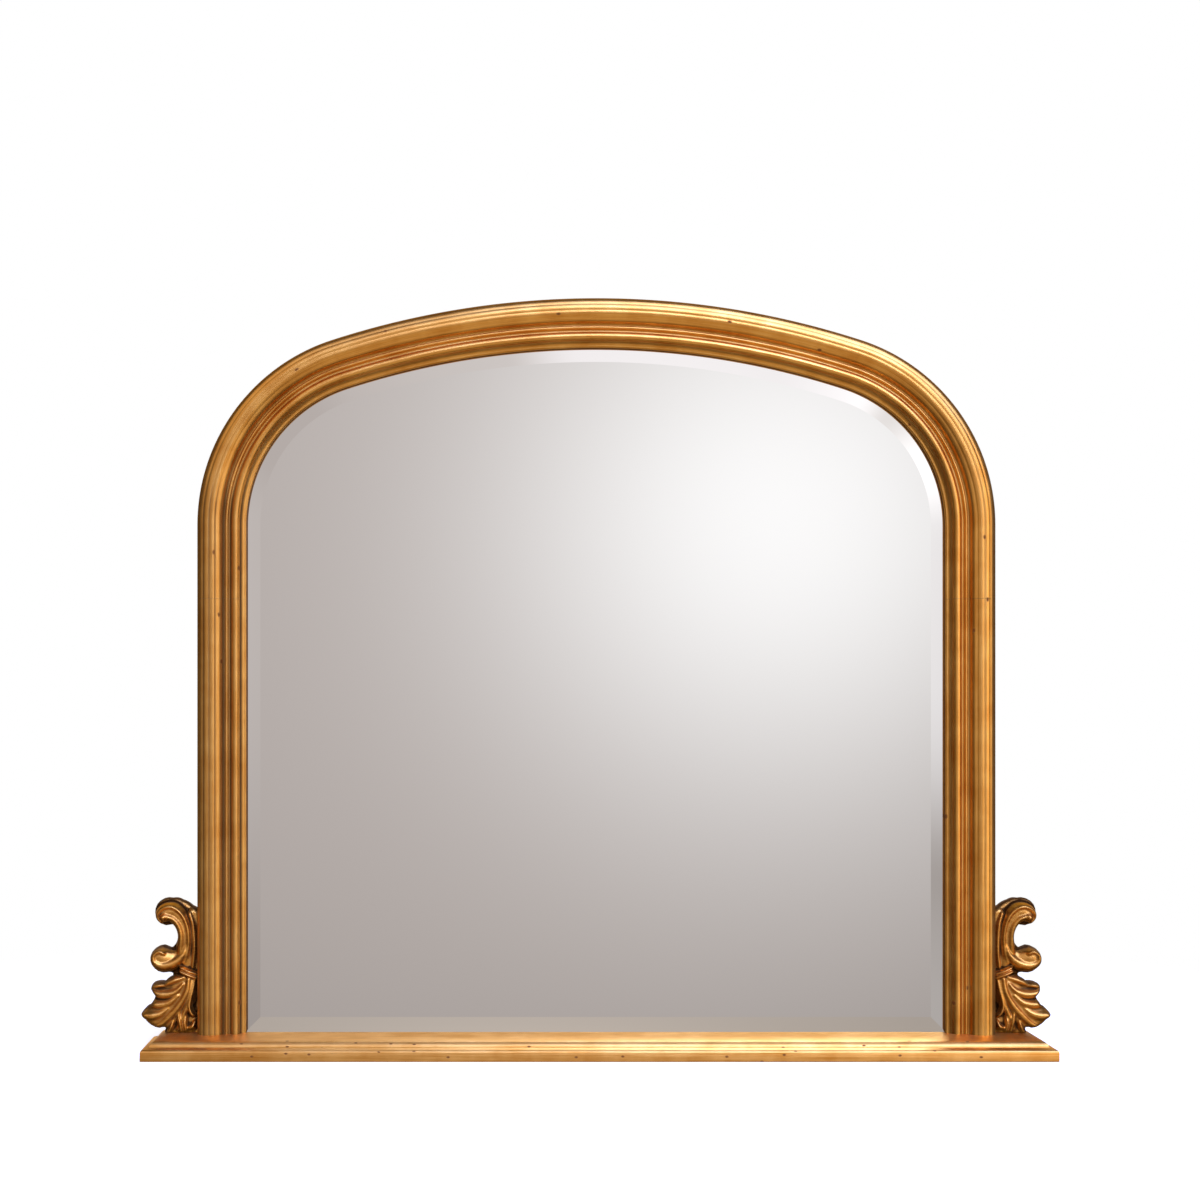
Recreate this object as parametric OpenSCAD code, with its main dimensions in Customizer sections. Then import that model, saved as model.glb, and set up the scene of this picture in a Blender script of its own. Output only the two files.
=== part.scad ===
// Overmantel mirror: an arched gilt frame on a moulded base, with a carved scroll at each foot.
//
// Sizes are in millimetres. X runs to the right, Y back to the wall and Z up, and Z = 0 is the
// shelf that the base stands on. Most pieces are drawn in the plane of the face instead: x to
// the right, y up from the top of the base, and z towards the viewer from the front of the glass.

/* [Arch] */
// Width of the opening between the sight edges
sight_w = 995; // [900:5:1080]
// Height of the opening from the top of the base to the crown
sight_h = 975; // [900:5:1050]
// Rise of the arch from its springing to the crown
crown_rise = 253; // [235:1:300]
// Radius of the tight haunches, at the sight edge
haunch_r = 207; // [170:1:220]
// Straight length of a haunch piece below its springing
haunch_leg = 105; // [90:1:150]

/* [Moulding] */
// Thickness of the lip in front of the glass
lip_t = 6; // [4:0.5:7]
// Width of the rounded nosing at the sight edge
nosing_w = 3; // [2:0.5:4]
// Rise of the nosing from the lip
nosing_rise = 1.6; // [1:0.2:2.4]
// Width of the hollow between the nosing and the inner bead
hollow_w = 6; // [5:0.5:8]
// Width of the inner bead
inner_bead_w = 10.5; // [9:0.5:12]
// Rise of the inner bead above its seat
inner_bead_rise = 5; // [4:0.2:5]
// Height of the inner bead's seat in front of the glass
inner_seat = 17; // [14:0.5:19]
// Width of the quirk beside the inner bead
quirk_w = 5; // [4:0.5:7]
// Width of the small bead
small_bead_w = 4.5; // [4:0.5:6]
// Rise of the small bead above its seat
small_bead_rise = 2.2; // [1.5:0.1:2.2]
// Width of the valley beside the reeds
valley_w = 4; // [3:0.5:6]
// Rise of the reeds' inner foot above the inner bead's seat
reed_foot_rise = 3.5; // [2:0.5:5]
// Width of the reeded band
reeds_w = 33; // [26:1:36]
// Number of reeds
reed_count = 4; // [3:1:5]
// Rise of the reeded band's middle above its feet
reeds_crown = 7.4; // [5:0.2:9]
// Rise of each reed above its own edges
reed_rise = 2.5; // [1.5:0.1:2.6]
// Width of the outer fillet
fillet_w = 2; // [1:0.5:4]
// Drop of the outer fillet towards the outer side
fillet_drop = 3; // [1:0.5:5]

/* [Rebate and glass] */
// Width of the rebate behind the lip
rebate_w = 7; // [6:0.5:9]
// Depth of the frame behind the front of the glass
rebate_d = 20; // [18:0.5:24]
// Thickness of the mirror glass
glass_t = 4; // [4:0.5:6]
// Clearance between the edge of the glass and the rebate
glass_gap = 1.5; // [1:0.1:2.5]
// Width of the bevel
bevel_w = 25; // [15:1:30]
// Depth of the bevel at the edge of the glass
bevel_drop = 1.8; // [1:0.1:2.4]
// Thickness of the tape between the lip and the bevel
tape_t = 0.8; // [0.6:0.1:1.2]
// Width of the tape
tape_w = 4.5; // [3:0.5:5]
// Thickness of the backing board
board_t = 3; // [2.5:0.5:5]

/* [Base] */
// Overhang of the base beyond each side of the frame
base_over = 69.5; // [60:0.5:90]
// Depth of the base from front to back
base_d = 108; // [95:1:130]
// Thickness of the base
base_t = 26; // [26:0.5:32]
// Height of the upright face at the front
fascia_h = 12.8; // [10:0.2:14]
// Rounding of the lower edge
base_round = 1.2; // [0.6:0.1:2]
// Set-back of the rounded shoulder above the upright face
shoulder_w = 4.5; // [3:0.5:6]
// Height of the rounded shoulder
shoulder_h = 3.8; // [2.5:0.1:4]
// Width of the ledge between the shoulder and the ovolo
ledge_w = 6.5; // [4:0.5:8]
// Slope of the ledge
ledge_rise = 1.2; // [0.5:0.1:1.5]
// Height of the quirk under the ovolo
base_quirk = 0.6; // [0.4:0.1:1]
// Width of the ovolo under the top
ovolo_w = 10; // [8:0.5:14]
// Depth of the rebate in the top of the base, which takes the foot of the glass
base_rebate_h = 6; // [5:0.5:8]
// Thickness of the setting blocks under the glass
block_t = 2.5; // [2:0.5:4]
// Length of a setting block
block_l = 60; // [40:5:100]
// Distance of each setting block from the middle
block_x = 220; // [150:10:260]

/* [Bottom rail] */
// Height of the bottom rail
rail_h = 45; // [38:1:55]
// Clearance in front of the bottom rail and at its ends
rail_gap = 0.2; // [0.1:0.1:0.3]
// Distance between the screws that hold the bottom rail to the base
rail_screw_pitch = 320; // [250:10:400]

/* [Carved scrolls] */
// Height of a carved scroll
carve_h = 191; // [170:1:210]
// Reach of a carved scroll beyond the frame
carve_w = 82; // [74:1:90]
// Thickness of the carving's ground
carve_ground_t = 20; // [14:1:24]
// Distance of the carving's back behind the front of the glass
carve_back = 14; // [8:1:18]
// Height of the relief above the ground
carve_relief = 17; // [12:0.5:22]

/* [Dowels and screws] */
// Diameter of the frame's dowels
dowel_d = 8; // [6:1:10]
// Length of a dowel
dowel_l = 40; // [30:2:50]
// Distance of the inner dowel from the sight edge
dowel_in = 23; // [20:1:26]
// Distance of the outer dowel from the sight edge
dowel_out = 50; // [44:1:54]
// Depth of the dowels behind the front of the glass
dowel_back = 5; // [2:1:8]
// Diameter of the dowels that hold the carving
pin_d = 6; // [5:1:8]
// Length of a carving dowel
pin_l = 32; // [24:2:40]
// Shank diameter of the small screws
screw_d = 3.5; // [3:0.5:4]
// Length of the small screws below the head
screw_l = 14; // [10:1:16]
// Shank diameter of the base screws
base_screw_d = 4.5; // [4:0.5:5]
// Length of the base screws with the head
base_screw_l = 50; // [46:2:56]
// Depth of the base screws' heads below the underside
base_screw_sink = 1; // [0.5:0.5:2]

/* [Mending plates and framing points] */
// Length of a mending plate
plate_l = 76; // [64:2:90]
// Width of a mending plate
plate_w = 18; // [14:1:22]
// Thickness of a mending plate
plate_t = 2; // [1.5:0.5:3]
// Distance from a seam to the nearer screws of a mending plate
plate_hole_in = 13; // [10:1:15]
// Distance from a seam to the farther screws of a mending plate
plate_hole_out = 29; // [24:1:28]
// Length of a framing point
point_l = 15; // [12:1:18]
// Width of a framing point
point_w = 8; // [6:1:12]
// Thickness of a framing point
point_t = 0.8; // [0.6:0.1:1]

/* [Hangers] */
// Width of a hanger strap
strap_w = 16; // [14:1:18]
// Length of a hanger strap below the ring's axis
strap_l = 56; // [54:1:64]
// Thickness of a hanger strap
strap_t = 1.5; // [1.2:0.1:1.8]
// Gap between a strap and the mending plate below it
strap_gap = 5; // [3:1:10]
// Height of the lower strap screw above the strap's foot
strap_hole_low = 8; // [7:0.5:9]
// Distance between the two strap screws
strap_hole_pitch = 14; // [12:1:16]
// Diameter of the ring's wire
ring_wire_d = 3.2; // [2.6:0.2:3.6]
// Running clearance of the ring's bar in its eye, on the radius
ring_gap = 0.05; // [0.03:0.01:0.08]
// Clearance between the hanging ring and its strap
ring_lift = 0.5; // [0.4:0.1:0.7]
// Width of the ring between the middles of its sides
ring_w = 26; // [25:1:30]
// Bend radius of the ring's upper corners
ring_corner = 4; // [3:0.5:4]
// Straight length of the ring's sides
ring_side = 6; // [4:1:7]
// Diameter of a wall bumper
bumper_d = 28; // [20:1:36]
// Thickness of a wall bumper
bumper_t = 7.5; // [7.5:0.5:12]
// Height of the bumpers above the base
bumper_y = 90; // [80:5:160]

/* [Hidden] */
$fn = 48;

// Places in the depth: the middle of the base and bumpers together lies at Y = 0
overall_d = base_d + bumper_t;
glass_y = overall_d / 2 - bumper_t - rebate_d;
base_front = base_d - rebate_d;

// The three-centred arch: two haunch arcs tangent to the legs and to one flat crown arc
half_w = sight_w / 2;
spring_y = sight_h - crown_rise;
seam_y = spring_y - haunch_leg;
haunch_x = half_w - haunch_r;
crown_r = (haunch_x ^ 2 + crown_rise ^ 2 - haunch_r ^ 2) / (2 * (crown_rise - haunch_r));
crown_y = sight_h - crown_r;
crown_deg = atan2(haunch_x, spring_y - crown_y);
haunch_deg = 90 - crown_deg;

// Across the moulding, from the sight edge outwards
inner_bead_u = nosing_w + hollow_w;
quirk_u = inner_bead_u + inner_bead_w;
small_bead_u = quirk_u + quirk_w;
valley_u = small_bead_u + small_bead_w;
reeds_u = valley_u + valley_w;
moulding_w = reeds_u + reeds_w + fillet_w;
outer_x = half_w + moulding_w;
base_l = 2 * (outer_x + base_over);
back_mid_u = (rebate_w + moulding_w) / 2;

// Through the moulding, forwards from the front of the glass
edge_cover = rebate_w - glass_gap;
foot_cover = base_rebate_h - block_t;
lip_back = bevel_z(0, edge_cover) + tape_t;
lip_front = lip_back + lip_t;
small_seat = inner_seat - 1;
reed_foot = inner_seat + reed_foot_rise;
board_back = -(glass_t + board_t);

// Sagittas of the hollows in the moulding, and the share of its chord that a quarter round has
hollow_sag = 2;
quirk_sag = 1.8;
valley_sag = 1.3;
nosing_sag = 0.8;
quarter = 0.2;

// Edge of the base: [set-back, height above the underside, sagitta], from the underside up
ledge_in = shoulder_w + ledge_w;
ledge_top = fascia_h + shoulder_h + ledge_rise;
ovolo_foot = ledge_top + base_quirk;
base_edge = [
  [base_round, 0, quarter * norm([base_round, base_round])],
  [0, base_round, 0],
  [0, fascia_h, quarter * norm([shoulder_w, shoulder_h])],
  [shoulder_w, fascia_h + shoulder_h, 0],
  [ledge_in, ledge_top, 0],
  [ledge_in, ovolo_foot, quarter * norm([ovolo_w, base_t - ovolo_foot])],
  [ledge_in + ovolo_w, base_t, 0]
];

// Clearances, and how far a cut runs past the face that it opens
dowel_gap = 0.05;
dowel_end_gap = 1;
screw_gap = 0.05;
plate_hole_gap = 0.2;
tape_gap = 0.1;
tape_inset = 0.5;
strip_gap = 0.5;
point_gap = 0.05;
block_gap = 0.2;
past = 1;

// Heads of the screws
small_head_d = 2 * screw_d;
small_head_t = 0.5 * screw_d;
base_head_d = 2 * base_screw_d;
base_head_t = 0.55 * base_screw_d;

// Places of the fastenings
plate_holes = [-plate_hole_out, -plate_hole_in, plate_hole_in, plate_hole_out];
strap_holes = [strap_hole_low - strap_l, strap_hole_low + strap_hole_pitch - strap_l];
leg_points = 3;
haunch_points = 2;
crown_points = 3;
point_out = rebate_w + point_l / 2;
rail_mid_z = (board_back - rebate_d) / 2;
stile_screw_in = 18;
stile_screw_out = 16;
stile_screw_z = -9;
carve_screw_in = 18;

// Hangers
hanger_y = seam_y + plate_l / 2 + strap_gap + strap_l;
eye_r = ring_wire_d / 2 + ring_gap;
barrel_r = eye_r + strap_t;
ring_standoff = strap_t + ring_wire_d / 2 + ring_lift;
ring_bar = ring_w / 2 - ring_corner;

// The carving is drawn on a grid, which is stretched to carve_w by carve_h
carve_grid = [82, 191];
carve_front = carve_ground_t - carve_back;
carve_mid_z = carve_ground_t / 2 - carve_back;
pin_heights = [38, 150];

gilt = "#B8863B";
timber = "#B08A5E";
board = "#8A6A48";
steel = "#A9ABAE";
brass = "#B9994A";

// ---- Outlines -----------------------------------------------------------------------------

// Points of an arc from p to q, without q; a positive sagitta bulges to the right of the way
function arc_points(p, q, sag, step) =
  abs(sag) < 0.001 ? [[p[0], p[1]]] :
  let (
    chord = norm([q[0] - p[0], q[1] - p[1]]),
    radius = (chord ^ 2 / 4 + sag ^ 2) / (2 * abs(sag)),
    right = [q[1] - p[1], p[0] - q[0]] / chord,
    centre = [p[0] + q[0], p[1] + q[1]] / 2 + right * (sag - sign(sag) * radius),
    start = atan2(p[1] - centre[1], p[0] - centre[0]),
    turn = sign(sag) * 4 * atan2(abs(sag), chord / 2),
    steps = max(2, ceil(abs(turn) / step))
  )
  [for (i = [0 : steps - 1])
    centre + radius * [cos(start + turn * i / steps), sin(start + turn * i / steps)]];

// Closed outline through knots [x, y, sagitta of the stretch to the next knot]
function outline(knots, step = 15) = [
  for (i = [0 : len(knots) - 1])
    each arc_points(knots[i], knots[(i + 1) % len(knots)], len(knots[i]) > 2 ? knots[i][2] : 0, step)
];

// Height of the bevel, at a distance outwards from the sight edge, for the cover beyond it
function bevel_z(u, cover) = -bevel_drop * (1 - (cover - u) / bevel_w);

// Edges of the reeds, evenly spaced along the arc that carries them all
function reed_edges() =
  let (
    radius = ((reeds_w / 2) ^ 2 + reeds_crown ^ 2) / (2 * reeds_crown),
    half = atan2(reeds_w / 2, radius - reeds_crown),
    centre = [reeds_u + reeds_w / 2, reed_foot + reeds_crown - radius]
  )
  [for (i = [0 : reed_count])
    let (a = half * (2 * i / reed_count - 1)) centre + radius * [sin(a), cos(a)]];

// Section of the moulding: x outwards from the sight edge, y forwards from the front of the glass.
// It is walked against the clock, so beads have positive sagittas and hollows negative ones.
module moulding_section() {
  edges = reed_edges();
  polygon(outline(concat(
    [
      [rebate_w, lip_back],
      [rebate_w, -rebate_d],
      [moulding_w, -rebate_d],
      [moulding_w, reed_foot - fillet_drop]
    ],
    [for (i = [reed_count : -1 : 1]) [edges[i][0], edges[i][1], reed_rise]],
    [
      [reeds_u, reed_foot, -valley_sag],
      [valley_u, small_seat, small_bead_rise],
      [small_bead_u, small_seat, -quirk_sag],
      [quirk_u, inner_seat, inner_bead_rise],
      [inner_bead_u, inner_seat, -hollow_sag],
      [nosing_w, lip_front + nosing_rise, nosing_sag],
      [0, lip_front],
      [0, lip_back]
    ]
  )));
}

// Outline of the arch, moved outwards from the sight edge, down to the given foot
outline_steps = 24;
function arch_outline(out, foot, steps = outline_steps) = concat(
  [[-half_w - out, foot], [half_w + out, foot]],
  [for (i = [0 : steps]) let (a = haunch_deg * i / steps)
    [haunch_x + (haunch_r + out) * cos(a), spring_y + (haunch_r + out) * sin(a)]],
  [for (i = [1 : steps - 1]) let (a = haunch_deg + 2 * crown_deg * i / steps)
    [(crown_r + out) * cos(a), crown_y + (crown_r + out) * sin(a)]],
  [for (i = [steps : -1 : 0]) let (a = haunch_deg * i / steps)
    [-haunch_x - (haunch_r + out) * cos(a), spring_y + (haunch_r + out) * sin(a)]]
);

// Outline of the base seen from its right-hand end, with the moulded edge at the front
function base_section() = outline(concat(
  [[-rebate_d, 0]],
  [for (k = base_edge) [base_front - k[0], k[1], k[2]]],
  [[-rebate_d, base_t]]
), 10);

// Outline of the base seen from the front, with the moulded edge at both ends
function base_elevation() = outline(concat(
  [for (k = base_edge) [base_l / 2 - k[0], k[1], k[2]]],
  [for (i = [len(base_edge) - 1 : -1 : 0])
    [base_edge[i][0] - base_l / 2, base_edge[i][1], i > 0 ? base_edge[i - 1][2] : 0]]
), 10);

// ---- Placing ------------------------------------------------------------------------------

// From the plane of the face to the object's own axes
module in_face() {
  translate([0, glass_y, base_t]) rotate([90, 0, 0]) children();
}

// The right-hand piece as drawn, or the left-hand one as its mirror image
module on_side(side) {
  if (side < 0) mirror([1, 0, 0]) children();
  else children();
}

// Section carried along y: its x stays x and its y becomes z
module run(length) {
  translate([0, length, 0]) rotate([90, 0, 0]) linear_extrude(height = length) children();
}

// Straight leg on the right with the given section, from one height to another
module leg(from, to) {
  translate([half_w, from, 0]) run(to - from) children();
}

// Tight arc of the right haunch, less a length trimmed off its upper end, and flat crown arc
module haunch_arc(trim = 0) {
  translate([haunch_x, spring_y, 0])
    rotate_extrude(angle = haunch_deg - trim / haunch_r * 180 / PI, $fn = 240)
      translate([haunch_r, 0]) children();
}
module crown_arc() {
  translate([0, crown_y, 0]) rotate([0, 0, haunch_deg])
    rotate_extrude(angle = 2 * crown_deg, $fn = 720) translate([crown_r, 0]) children();
}

// Short flats round the right haunch, one to each step of the glass's outline
module haunch_flats() {
  step_deg = haunch_deg / outline_steps;
  length = 2 * (haunch_r + rebate_w) * tan(step_deg);
  for (i = [1 : outline_steps])
    translate([haunch_x, spring_y, 0]) rotate([0, 0, (i - 0.5) * step_deg])
      translate([haunch_r, -length / 2, 0]) run(length) children();
}

// Section carried along the foot of the opening, where its x points down from the sight edge
module along_foot() {
  translate([-half_w - rebate_w, 0, 0]) rotate([0, 0, -90]) run(sight_w + 2 * rebate_w) children();
}

// The seams of the moulding: x outwards from the sight edge, y along the moulding
module at_low_seam() {
  translate([half_w, seam_y, 0]) children();
}
module at_high_seam() {
  translate([haunch_x, spring_y, 0]) rotate([0, 0, haunch_deg]) translate([haunch_r, 0, 0]) children();
}

// Along the legs, haunches and crown, where the framing points are driven in
module at_leg_points() {
  for (i = [1 : leg_points])
    translate([half_w, seam_y * (i - 0.5) / leg_points, 0]) children();
}
module at_haunch_points() {
  for (i = [1 : haunch_points])
    translate([haunch_x, spring_y, 0]) rotate([0, 0, haunch_deg * (i - 0.5) / haunch_points])
      translate([haunch_r, 0, 0]) children();
}
module at_crown_points() {
  for (i = [1 : crown_points])
    translate([0, crown_y, 0])
      rotate([0, 0, haunch_deg + 2 * crown_deg * (i - 0.5) / crown_points])
        translate([crown_r, 0, 0]) children();
}

// The right-hand ring's axis, brought to the back face of the haunch
module at_hanger() {
  translate([half_w + back_mid_u, hanger_y, -rebate_d]) children();
}

// The screws of a mending plate, of a strap, of the rail, of a stile and of a carving
module at_plate_holes() {
  for (y = plate_holes) translate([back_mid_u, y, -rebate_d - plate_t]) children();
}
module at_strap_holes() {
  for (y = strap_holes) translate([0, y, -strap_t]) children();
}
module at_rail_screws() {
  for (i = [-1, 0, 1]) translate([i * rail_screw_pitch, 0, rail_mid_z]) children();
}
module at_stile_screws() {
  for (x = [half_w + stile_screw_in, outer_x - stile_screw_out]) translate([x, 0, stile_screw_z]) children();
}
module at_carve_screw() {
  translate([outer_x + carve_screw_in, 0, carve_mid_z]) children();
}

// ---- Fastenings and their holes -----------------------------------------------------------

// Dowels across a seam; their holes have a gap on the radius and at both ends
module seam_dowels(gap = 0, end_gap = 0) {
  for (u = [dowel_in, dowel_out])
    translate([u, 0, -dowel_back]) rotate([90, 0, 0])
      cylinder(d = dowel_d + 2 * gap, h = dowel_l + 2 * end_gap, center = true);
}

// Dowels from the outer side of the stile into a carving, or their holes
module carve_dowels(gap = 0, end_gap = 0) {
  for (y = pin_heights)
    translate([outer_x, y * carve_h / carve_grid[1], carve_mid_z]) rotate([0, 90, 0])
      cylinder(d = pin_d + 2 * gap, h = pin_l + 2 * end_gap, center = true);
}

// Small screw driven forwards, with the underside of its head at z = 0
module small_screw() {
  cylinder(d = screw_d, h = screw_l);
  translate([0, 0, -small_head_t])
    cylinder(d1 = 0.6 * small_head_d, d2 = small_head_d, h = small_head_t);
}
module small_screw_hole() {
  translate([0, 0, -past]) cylinder(d = screw_d + 2 * screw_gap, h = screw_l + 2 * past);
}
module plate_hole(thick) {
  translate([0, 0, -past]) cylinder(d = screw_d + 2 * plate_hole_gap, h = thick + 2 * past);
}

// Base screw driven upwards, with its countersunk head sunk below the underside of the base
module base_screw(gap = 0, end_gap = 0) {
  translate([0, base_screw_sink - base_t, 0]) rotate([-90, 0, 0]) {
    cylinder(d1 = base_head_d + 2 * gap, d2 = base_screw_d + 2 * gap, h = base_head_t);
    cylinder(d = base_screw_d + 2 * gap, h = base_screw_l + end_gap);
  }
}
module base_screw_hole() {
  base_screw(screw_gap, past);
  translate([0, -base_t - past, 0]) rotate([-90, 0, 0])
    cylinder(d = base_head_d + 2 * screw_gap, h = base_screw_sink + past);
}

// Framing point flat on the backing board, with half its length in the moulding
module framing_point(gap = 0) {
  translate([point_out - point_l - gap, -point_w / 2 - gap, board_back - point_t - gap])
    cube([point_l + 2 * gap, point_w + 2 * gap, point_t + 2 * gap]);
}

// ---- Frame --------------------------------------------------------------------------------

module stile(side) {
  color(gilt) in_face() on_side(side) difference() {
    leg(0, seam_y) moulding_section();
    at_low_seam() seam_dowels(dowel_gap, dowel_end_gap);
    at_low_seam() at_plate_holes() small_screw_hole();
    at_leg_points() framing_point(point_gap);
    at_stile_screws() base_screw(screw_gap, past);
    carve_dowels(dowel_gap, dowel_end_gap);
  }
}

module haunch(side) {
  color(gilt) in_face() on_side(side) difference() {
    union() {
      leg(seam_y, spring_y) moulding_section();
      haunch_arc() moulding_section();
    }
    at_low_seam() seam_dowels(dowel_gap, dowel_end_gap);
    at_low_seam() at_plate_holes() small_screw_hole();
    at_high_seam() seam_dowels(dowel_gap, dowel_end_gap);
    at_high_seam() at_plate_holes() small_screw_hole();
    at_haunch_points() framing_point(point_gap);
    at_hanger() at_strap_holes() small_screw_hole();
  }
}

module crown_rail() {
  color(gilt) in_face() difference() {
    crown_arc() moulding_section();
    for (side = [-1, 1]) on_side(side) at_high_seam() {
      seam_dowels(dowel_gap, dowel_end_gap);
      at_plate_holes() small_screw_hole();
    }
    at_crown_points() framing_point(point_gap);
  }
}

module bottom_rail() {
  color(timber) in_face() difference() {
    translate([-half_w - rebate_w + rail_gap, -base_rebate_h, -rebate_d])
      cube([sight_w + 2 * (rebate_w - rail_gap), rail_h, rebate_d + board_back - rail_gap]);
    at_rail_screws() base_screw(screw_gap, past);
  }
}

// ---- Base ---------------------------------------------------------------------------------

module base_plinth() {
  color(gilt) in_face() difference() {
    intersection() {
      translate([base_l / 2, -base_t, 0]) rotate([0, -90, 0])
        linear_extrude(height = base_l) polygon(base_section());
      translate([0, -base_t, -rebate_d]) linear_extrude(height = base_d) polygon(base_elevation());
    }
    translate([-half_w - rebate_w, -base_rebate_h, -rebate_d - past])
      cube([sight_w + 2 * rebate_w, base_rebate_h + past, rebate_d + past + lip_back]);
    at_rail_screws() base_screw_hole();
    for (side = [-1, 1]) on_side(side) {
      at_stile_screws() base_screw_hole();
      at_carve_screw() base_screw_hole();
    }
  }
}

// ---- Carved scrolls -----------------------------------------------------------------------

// Knots of an outline on the carving's grid, stretched to its real size
function carve_knots(knots) = [
  for (k = knots) [k[0] * carve_w / carve_grid[0], k[1] * carve_h / carve_grid[1], len(k) > 2 ? k[2] : 0]
];

// A piece of the relief: an outline raised above the ground to a share of the relief's height
module relief(knots, share) {
  translate([0, 0, carve_front - past])
    linear_extrude(height = past + share * carve_relief) polygon(outline(carve_knots(knots), 20));
}

// Silhouette: scroll at the top and middle, with the leaf's lobes below
ground_knots = [
  [0, 0], [50, 0], [47.5, 6.5, -0.6], [56, 5.5], [66, 8.5, 1], [77, 18, 1.2], [82, 27, 0.8],
  [73, 37.5, -1], [66, 44, -0.8], [63, 52, -0.6], [69, 61, 0.8], [65, 70, 1.5], [49, 72, 0.8],
  [39, 79.5, -1.5], [38.5, 84, -0.6], [46, 84.5, 22], [50, 123.5], [40, 119.5, -8.5],
  [38, 153], [48, 151.5, 20.5], [38, 190.5, 1.5], [24, 188, 1], [10, 180], [0, 175]
];

// The C-shaped band with a volute at each end
band_knots = [
  [35, 89, 0.5], [47, 87.5, 19], [49.5, 120.5], [39, 117.5, -9.5], [36.5, 155], [48, 154.5, 17.5],
  [39.5, 187.5, 8], [11, 152, 4], [20, 106, 1.5]
];

// The leaf's lobes from the collar outwards, its rib, the leaflet under it and the tendril
upper_lobe_knots = [
  [16, 80, 2], [10, 62, -2], [32, 57, -1], [57, 53.5], [65.5, 60.5, 1.5], [62.5, 68, -1], [34, 77.5]
];
lower_lobe_knots = [
  [10, 72, -3], [23, 40, -3], [48, 10.5], [64, 11, 2], [79, 27, 1], [64, 40, -2], [38, 50, -1]
];
rib_knots = [[12, 80], [11, 66, -3], [24, 36, -3], [59, 12.5], [62, 15.5, 3], [30, 42, 4], [19, 78]];
leaflet_knots = [[6, 37, 2], [2, 12, 1], [14, 6], [26, 3], [32, 12, 1], [20, 33, 1]];
tendril_knots = [[3, 80], [4, 52, 2], [1, 32], [5, 26, 2], [9, 32, -2], [9, 78]];

// The collar's two beads, and the centres of the volutes' eyes
upper_bead_knots = [[3.5, 84.5], [21, 91, 1.5], [20, 95.5], [3, 89.5, 1]];
lower_bead_knots = [[3.5, 78], [23, 85.5, 1.5], [22, 90], [3, 83, 1]];
eyes = [[47, 167], [54, 105]];
volute_r = 10;

module scroll_carving(side) {
  color(gilt) in_face() on_side(side) difference() {
    translate([outer_x, 0, 0]) union() {
      translate([0, 0, -carve_back]) linear_extrude(height = carve_ground_t)
        polygon(outline(carve_knots(ground_knots), 12));
      relief(band_knots, 0.7);
      relief(upper_lobe_knots, 0.45);
      relief(lower_lobe_knots, 0.6);
      relief(rib_knots, 0.8);
      relief(leaflet_knots, 0.4);
      relief(tendril_knots, 0.5);
      relief(upper_bead_knots, 0.65);
      relief(lower_bead_knots, 0.6);
      for (eye = carve_knots(eyes))
        translate([eye[0], eye[1], carve_front + carve_relief - volute_r])
          rotate([90, 0, 0]) sphere(r = volute_r);
    }
    carve_dowels(dowel_gap, dowel_end_gap);
    at_carve_screw() base_screw(screw_gap, past);
  }
}

// ---- Glass and backing --------------------------------------------------------------------

// Wedge above the bevel, for the cover of the glass beyond the sight edge
module bevel_wedge(cover) {
  above = 0.5;
  polygon([
    [cover - bevel_w - above * bevel_w / bevel_drop, above],
    [cover + past, bevel_z(cover + past, cover)],
    [cover + past, above]
  ]);
}

module mirror_glass() {
  color("silver") in_face() difference() {
    translate([0, 0, -glass_t]) linear_extrude(height = glass_t)
      polygon(arch_outline(edge_cover, -foot_cover));
    for (side = [-1, 1]) on_side(side) leg(-foot_cover - past, spring_y) bevel_wedge(edge_cover);
    for (side = [-1, 1]) on_side(side) haunch_flats() bevel_wedge(edge_cover);
    crown_arc() bevel_wedge(edge_cover);
    along_foot() bevel_wedge(foot_cover);
  }
}

// Section of the tape between the lip and the bevel
module tape_section(cover, width) {
  polygon([
    [tape_inset, bevel_z(tape_inset, cover) + tape_gap],
    [tape_inset + width, bevel_z(tape_inset + width, cover) + tape_gap],
    [tape_inset + width, lip_back],
    [tape_inset, lip_back]
  ]);
}

// The tape is laid in strips, one to each length of the moulding
module rebate_tape() {
  color("dimgray") in_face() {
    for (side = [-1, 1]) on_side(side) {
      leg(0, spring_y - strip_gap) tape_section(edge_cover, tape_w);
      haunch_arc(strip_gap) tape_section(edge_cover, tape_w);
    }
    crown_arc() tape_section(edge_cover, tape_w);
    along_foot() tape_section(foot_cover, foot_cover - 2 * tape_inset);
  }
}

module setting_blocks() {
  color("black") in_face() for (x = [-block_x, block_x])
    translate([x - block_l / 2, -base_rebate_h, -glass_t])
      cube([block_l, block_t, glass_t + lip_back - block_gap]);
}

module backing_board() {
  color(board) in_face() translate([0, 0, board_back])
    linear_extrude(height = board_t) polygon(arch_outline(edge_cover, -base_rebate_h));
}

module framing_points() {
  color(steel) in_face() {
    for (side = [-1, 1]) on_side(side) {
      at_leg_points() framing_point();
      at_haunch_points() framing_point();
    }
    at_crown_points() framing_point();
  }
}

// ---- Dowels, plates and screws ------------------------------------------------------------

module joint_dowels() {
  color(timber) in_face() for (side = [-1, 1]) on_side(side) {
    at_low_seam() seam_dowels();
    at_high_seam() seam_dowels();
  }
}

module carving_dowels() {
  color(timber) in_face() for (side = [-1, 1]) on_side(side) carve_dowels();
}

module mending_plate() {
  difference() {
    translate([back_mid_u - plate_w / 2, -plate_l / 2, -rebate_d - plate_t])
      cube([plate_w, plate_l, plate_t]);
    at_plate_holes() plate_hole(plate_t);
  }
}

module mending_plates() {
  color(steel) in_face() for (side = [-1, 1]) on_side(side) {
    at_low_seam() mending_plate();
    at_high_seam() mending_plate();
  }
}

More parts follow.
